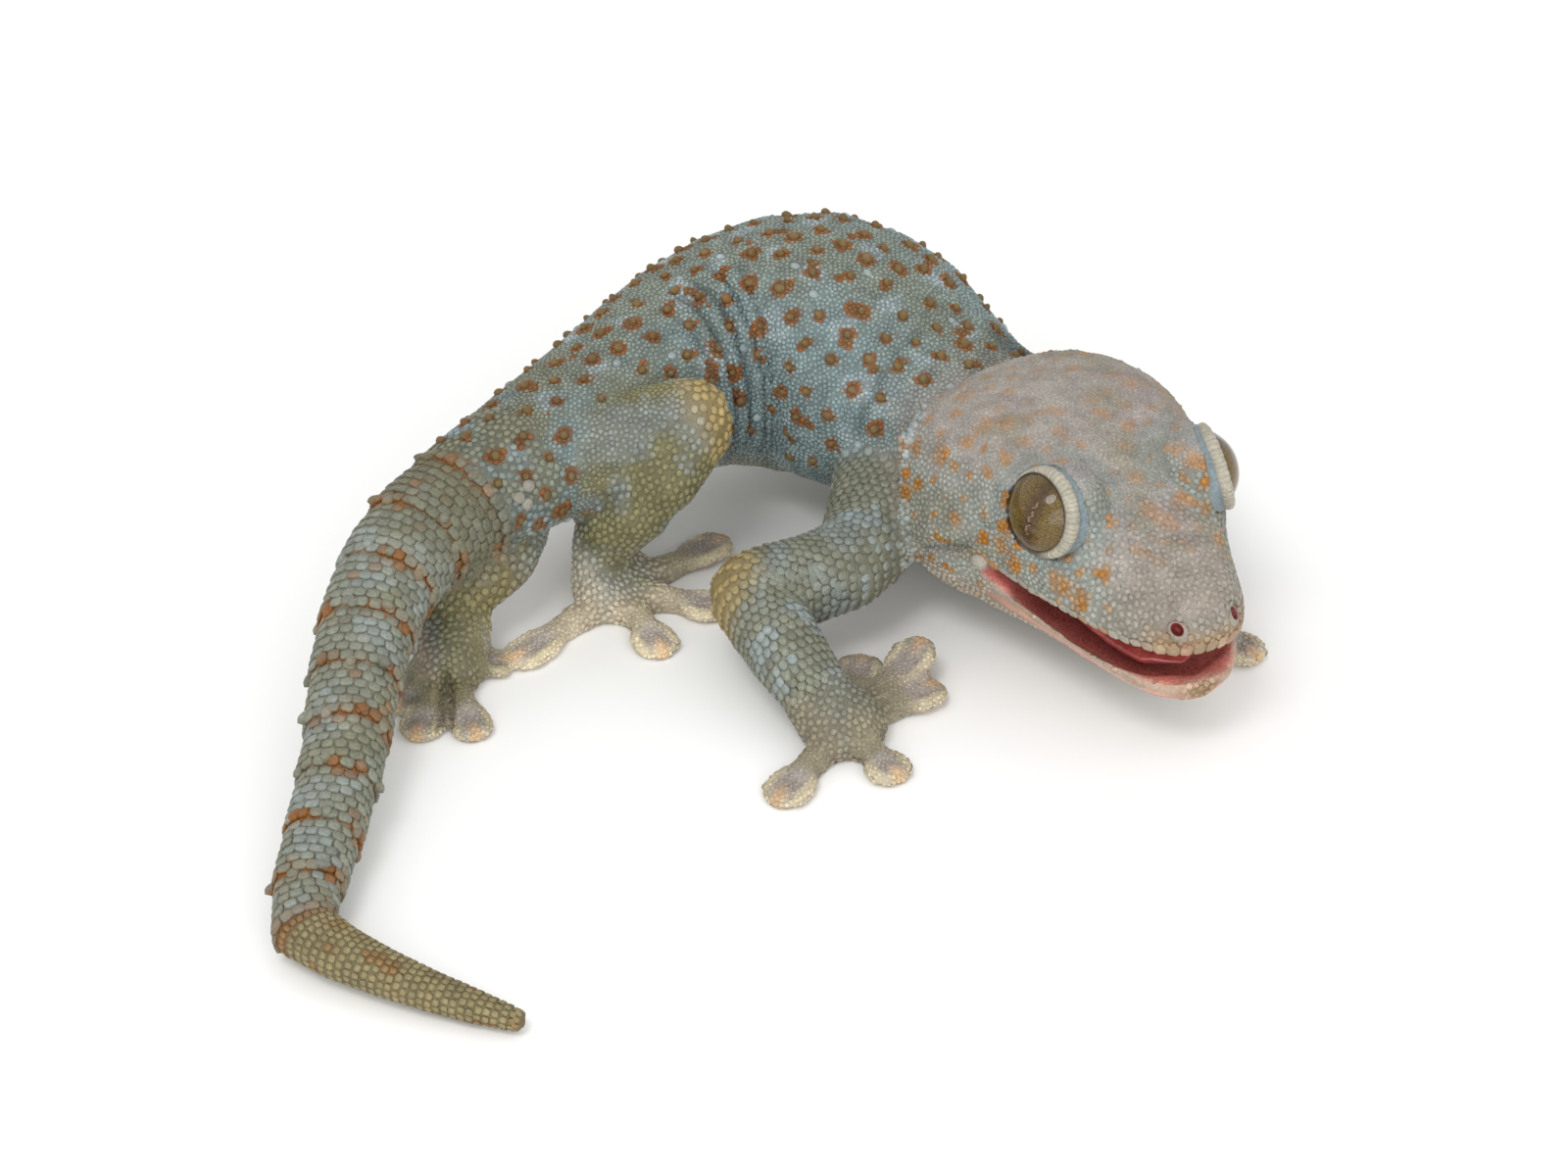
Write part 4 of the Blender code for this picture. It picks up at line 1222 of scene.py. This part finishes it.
def claw_pieces():
    """A small hooked claw over each toe tip, except the inner toes of the hind feet, which have none."""
    sides, above = 8, np.array([0.0, 0.0, 1.0])
    for which, (sole, toes) in FEET.items():
        points, quads = [], []
        for degrees, length, lift in toes[1:] if which.startswith("hind") else toes:
            ahead = np.array([math.cos(math.radians(degrees)), math.sin(math.radians(degrees)), 0.0])
            root = np.array([*sole, 1.1 + lift]) + ahead * (length - 0.9)
            quads.append(len(points) * sides + rings_joined(len(CLAW_PROFILE), sides).reshape(-1, 4))
            for reach, size, rise in CLAW_PROFILE:
                ring = circle(whole_turn(sides), np.cross(above, ahead), above) * size
                points.append(root + ahead * reach + ring + above * rise)
        mesh = mesh_from(f"claws_{which}", np.concatenate(points), np.concatenate(quads))
        added(f"claws_{which}", mesh, CLAW, "toe_skin")


def lip_path(x_first):
    """Points on the skin along the upper lip, from one corner of the mouth to the other, and their distance."""
    straight = np.arange(x_first, SNOUT_BEND, 0.25)
    angles = np.radians(np.arange(90, 0, -2.0))
    starts = np.vstack([np.column_stack([straight, 0 * straight]), np.tile([SNOUT_BEND, 0.0], (len(angles), 1))])
    outs = np.vstack([np.tile([0.0, 1.0], (len(straight), 1)), np.column_stack([np.cos(angles), np.sin(angles)])])
    level = lip_height(np.clip(starts[:, 0] + outs[:, 0] * 8.0, MOUTH_CORNER, SNOUT_TIP)) + 1.3
    half = np.column_stack([starts, level, outs])
    found = []
    for x, y, z, out_x, out_y in np.vstack([half, half[::-1] * [1, -1, 1, 1, -1]]):
        origin, direction = from_head(np.array([x, y, z])), HEAD_AXES @ np.array([out_x, out_y, 0.0])
        best, gone = None, 0.0
        while (hit := coat.hit(origin + direction * gone, direction, 24.0 - gone))[0] is not None:
            best = np.array(hit[0])
            gone += hit[1] + 0.05
        if best is not None:
            found.append(best)
    found = np.array(found)
    steps = np.concatenate([[0], np.cumsum(np.linalg.norm(np.diff(found, axis=0), axis=1))])
    return found, steps


def labials(name, x_first, step, half_high, height):
    """A row of plates along the upper lip, tallest at the tip of the snout."""
    found, steps = lip_path(x_first)
    at = np.arange(step / 2, steps[-1], step)
    points, ahead = (
        np.stack([np.interp(at + lead, steps, column) for column in found.T], axis=1) for lead in (0, 0.5)
    )
    tone = coat.colours[coat.roots(points)] * 0.75 + LIP * TONE * 0.25
    tall = half_high * (0.7 + 0.5 * smooth(14.0, 4.0, np.abs(at - steps[-1] / 2)))
    look = {"slot": "head_skin", "lies": ahead - points, "own": tone, "sides": 8, "power": 3.2, "levels": PLATE}
    coat.lay(name, "head", points, (tall, step * 0.54), height, **look)
    return points


def floor_piece():
    size = 3.0
    mesh = bpy.data.meshes.new("floor")
    mesh.from_pydata([(-size, -size, 0), (size, -size, 0), (size, size, 0), (-size, size, 0)], [], [(0, 1, 2, 3)])
    shader = Shader("pale_floor", 0.85, specular=0.1)
    shader.set("Base Color", shader.mixed(shader.noise(6.0), linear(249, 249, 248), linear(252, 252, 251)))
    mesh.materials.append(shader.material)
    floor = shown("floor", mesh)


def lamp(name, place, target, size, power):
    data = bpy.data.lights.new(name, "AREA")
    data.shape = "DISK"
    data.size, data.energy = size, power
    obj = shown(name, data)
    obj.location = place
    obj.rotation_euler = (Vector(target) - Vector(place)).to_track_quat("-Z", "Y").to_euler()


SKIN = hide_material("gecko_skin", 2400.0, 0.62)
SCALES = hide_material("gecko_scales", 3600.0, 0.5, 0.28)
LID = hide_material("gecko_lid", 3000.0, 0.4, 0.35)
EYE = eye_material()
TONGUE = wet_material("gecko_tongue", linear(158, 66, 62), linear(188, 92, 84))
CLAW = claw_material()

mesh, web, place, normals, group, shares = wrapped_skin()
place, push = folded(Measures(place, normals, shares))
moved_to(mesh, place)
mesh.shade_smooth()
normals = normals_of(mesh)
skin = added("skin", mesh, SKIN, "skin", *(name for names in GROUPS.values() for name in names))

at = Measures(place, normals, shares)
is_in = {name: group == number for name, number in NUMBER.items()}
spot_centres = sprinkled(skin, is_in["trunk"] & (at.dorsal > 0.28), 3.8, 4)
spot_sizes = rng.uniform(0.75, 1.5, len(spot_centres))
head_centres = sprinkled(skin, is_in["head"], 3.0, 5)
head_sizes = rng.uniform(0.3, 1.35, len(head_centres))
patch_centres = sprinkled(skin, is_in["trunk"], 8.0, 6)
spots = spotted(place, spot_centres, spot_sizes, 0.6, 3.0, 41)
head_spots = spotted(place, head_centres, head_sizes, 1.5, 1.7, 43)
patches = spotted(place, patch_centres, rng.uniform(1.0, 2.4, len(patch_centres)), 0.8, 2.4, 47)[0]
_, in_mouth = mouth(at)
lip_edge = web.averaged((in_mouth * at.share["head"])[:, None], 7, 0.8)[:, 0]
lip_edge = np.clip(smooth(0.02, 0.2, lip_edge) - in_mouth, 0, 1)
colours, joints, wet = markings(at, push, lip_edge, spots, head_spots, patches)
colours, joints = colours * TONE, joints * TONE
painted(mesh, joints, wet)
coat = Coat(skin, place, normals, group, colours, joints)

# Tubercles in the spots of the back and pale ones between them.
on_top = at.dorsal[coat.roots(spot_centres)]
heights = rng.uniform(0.26, 0.42, len(spot_centres)) + 0.45 * smooth(0.4, 0.7, on_top)
size = rng.uniform(0.5, 0.8, len(spot_centres))
tone = coat.toned(spot_centres, TUBERCLE, rng.uniform(0.3, 1.0, len(spot_centres)))
dome = {"sides": 8, "levels": DOME}
coat.lay("tubercles", "trunk", spot_centres, (size, size * 1.15), heights, 0.3, own=tone, **dome)
plain_at = sprinkled(skin, is_in["trunk"] & (at.dorsal > 0.3), 4.6, 15)
plain_at = plain_at[away_from(plain_at, spot_centres, 2.2)]
tone = coat.toned(plain_at, PALE, np.full(len(plain_at), 0.5))
coat.lay("tubercles_pale", "trunk", plain_at, (0.68, 0.78), 0.42, 0.2, own=tone, **dome)
tubercle_at = np.vstack([spot_centres, plain_at])

lip_scales = labials("labials_upper", 15.5, 1.7, 0.9, 0.11)

# Granules: which part of the skin, how far apart, how high.
bare = (wet > 0.2) | (at.eye < EYE_RADIUS + 0.3)
nostril_gap = np.linalg.norm((np.abs(at.on_head) - NOSTRIL) * NOSTRIL_SHAPE, axis=1) < 1.45
bare |= is_in["head"] & (nostril_gap | ((lip_edge > 0.75) & (at.above_lip < -1.5)))
covered, behind, level = is_in["head"] & ~bare, at.x < CROWN_END, at.up > CROWN_LEVEL
rearward = at.along + 3.0 * (noise(place, 3.0, 79) - 0.5) > VENT - 9
for name, where, chosen, spacing, height in (
    ("scales_crown", "head", covered & behind & level, 0.52, 0.1),
    ("scales_cheek", "head", covered & behind & ~level, 0.66, 0.17),
    ("scales_snout", "head", covered & ~behind, 0.86, 0.17),
    ("scales_trunk", "trunk", is_in["trunk"] & ~rearward, 0.56, 0.18),
    ("scales_rump", "trunk", is_in["trunk"] & rearward, 0.95, 0.24),
):
    points = sprinkled(skin, chosen, spacing, 11)
    points = points[away_from(points, tubercle_at if where == "trunk" else lip_scales, GRAIN_GAP)]
    half = spacing * 0.60
    coat.lay(name, where, points, (half, half * 1.04), height, slot="head_skin" if where == "head" else "skin")

# The crinkled pale edge behind each cheek, the wart at each corner of the mouth and the knobs beside the vent.
down = rng.uniform(-0.15, 1.25, 110)[:, None]
frill_at = CHEEK[0] + down * (CHEEK[1] - CHEEK[0]) + rng.normal(0, 0.65, (len(down), 3))
frill_at = coat.place[coat.roots(from_head(np.vstack([frill_at, frill_at * [1, -1, 1]])))]
size = rng.uniform(0.3, 0.6, len(frill_at))
tone = coat.toned(frill_at, PALE, rng.uniform(0.1, 0.8, len(frill_at)))
coat.lay("cheek_frill", "head", frill_at, (size, size * 1.3), size * 0.6, 0.5, "head_skin", own=tone, levels=DOME)
for name, where, knobs, size, height, light in (
    ("corner_knobs", "head", from_head(CORNER_KNOBS), 1.3, 1.2, 1.0),
    ("vent_knobs", "trunk", VENT_KNOBS, 0.9, 0.65, 0.75),
):
    tone = np.tile(KNOB_PALE * light * TONE, (len(knobs), 1))
    coat.lay(name, where, coat.place[coat.roots(knobs)], (size, size), height, own=tone, sides=12, levels=KNOB)

# Rings of plates and spines of the tail.
tail_end = STUMP + 0.6
points, widths = coat.ringed(BODY, VENT - 2, tail_end, WHORL / 6, 2.0, "tail")
coat.lay(
    "plates_tail", "tail", points, (widths * 0.53, WHORL / 12 * 1.2), 0.26, 0.22, sides=8, power=3.6, levels=PLATE
)
spines, _ = coat.ringed(BODY, TAIL_ROOT - WHORL * 1.08, tail_end - 3, WHORL, 4.4, "tail", 0.1)
sizes = rng.uniform(0.75, 1.05, len(spines)), rng.uniform(1.05, 1.35, len(spines))
heights = rng.uniform(0.5, 0.95, len(spines))
coat.lay("spines_tail", "tail", spines, sizes, heights, 0.6, sides=8, levels=SPINE)
points, widths = coat.ringed(BODY, STUMP, BODY.along[-1] + 0.8, 1.0, 1.15, "regrown")
coat.lay("plates_regrown", "regrown", points, (widths * 0.5, 0.52), 0.2, 0.1, "regrown_skin", sides=8, power=3.0)

for which, route in LEGS.items():
    leg, foot = f"leg_{which}", f"foot_{which}"
    if which.startswith("front"):
        points, widths = coat.ringed(route, 0.5, route.along[-1] + 1, 1.15, 1.5, leg)
        coat.lay(f"scales_{leg}", leg, points, (widths * 0.54, 0.86), 0.2, 0.3, sides=8, power=2.3)
    on_leg, on_foot = is_in[leg] & which.startswith("hind"), is_in[foot]
    near_knee = distance(place, JOINTS[which]) < KNEE_REACH
    down_leg = route.nearest(place)[0] > route.stations[2]
    shank, thigh = on_leg & ~near_knee & down_leg, on_leg & ~near_knee & ~down_leg
    on_toe = toe_places(place, which)[0] > TOE_START
    for name, where, chosen, spacing, seed, sizes, height, tilt, slot, sides in (
        (f"scales_knee_{which}", leg, on_leg & near_knee, 1.2, 17, (0.7, 0.74), 0.3, 0.0, "skin", 8),
        (f"scales_shank_{which}", leg, shank, 0.95, 18, (0.56, 0.62), 0.26, 0.1, "skin", 6),
        (f"scales_thigh_{which}", leg, thigh, 0.66, 18, (0.4, 0.43), 0.2, 0.0, "skin", 6),
        (f"scales_{foot}", foot, on_foot & ~on_toe, 0.8, 19, (0.5, 0.56), 0.18, 0.15, "toe_skin", 6),
        (f"scales_toes_{which}", foot, on_foot & on_toe, 0.54, 20, (0.33, 0.36), 0.06, 0.0, "toe_skin", 6),
    ):
        if chosen.any():
            coat.lay(name, where, sprinkled(skin, chosen, spacing, seed), sizes, height, tilt, slot, sides=sides)

for side, sign in (("left", 1), ("right", -1)):
    eye_ball(side, sign)
    eyelid(side, sign)
    nostril_piece(side, sign)
tongue_piece()
claw_pieces()

floor_piece()
world = bpy.data.worlds.new("soft_studio")
world.use_nodes = True
background = world.node_tree.nodes["Background"]
background.inputs["Color"].default_value = (1.0, 1.0, 1.0, 1.0)
background.inputs["Strength"].default_value = 0.9
bpy.context.scene.world = world
lamp("key", (-0.2, -0.35, 0.7), (0, 0.01, 0.01), 0.3, 1.5)
lamp("front", (0.15, -0.9, 0.16), (0, 0.0, 0.01), 1.0, 5.0)

CAMERA_TARGET = Vector((-1.3, 9.7, 9.0)) * MM
CAMERA_ELEVATION = math.radians(35.0)
CAMERA_DISTANCE = 0.45
camera = shown("camera", bpy.data.cameras.new("camera"))
camera.data.lens = 78.0
camera.data.sensor_width = 36.0
camera.data.clip_start = 0.01
back = Vector((0.0, -math.cos(CAMERA_ELEVATION), math.sin(CAMERA_ELEVATION)))
camera.location = CAMERA_TARGET + back * CAMERA_DISTANCE
camera.rotation_euler = (-back).to_track_quat("-Z", "Y").to_euler()
bpy.context.scene.camera = camera
bpy.context.scene.view_settings.view_transform = "Standard"
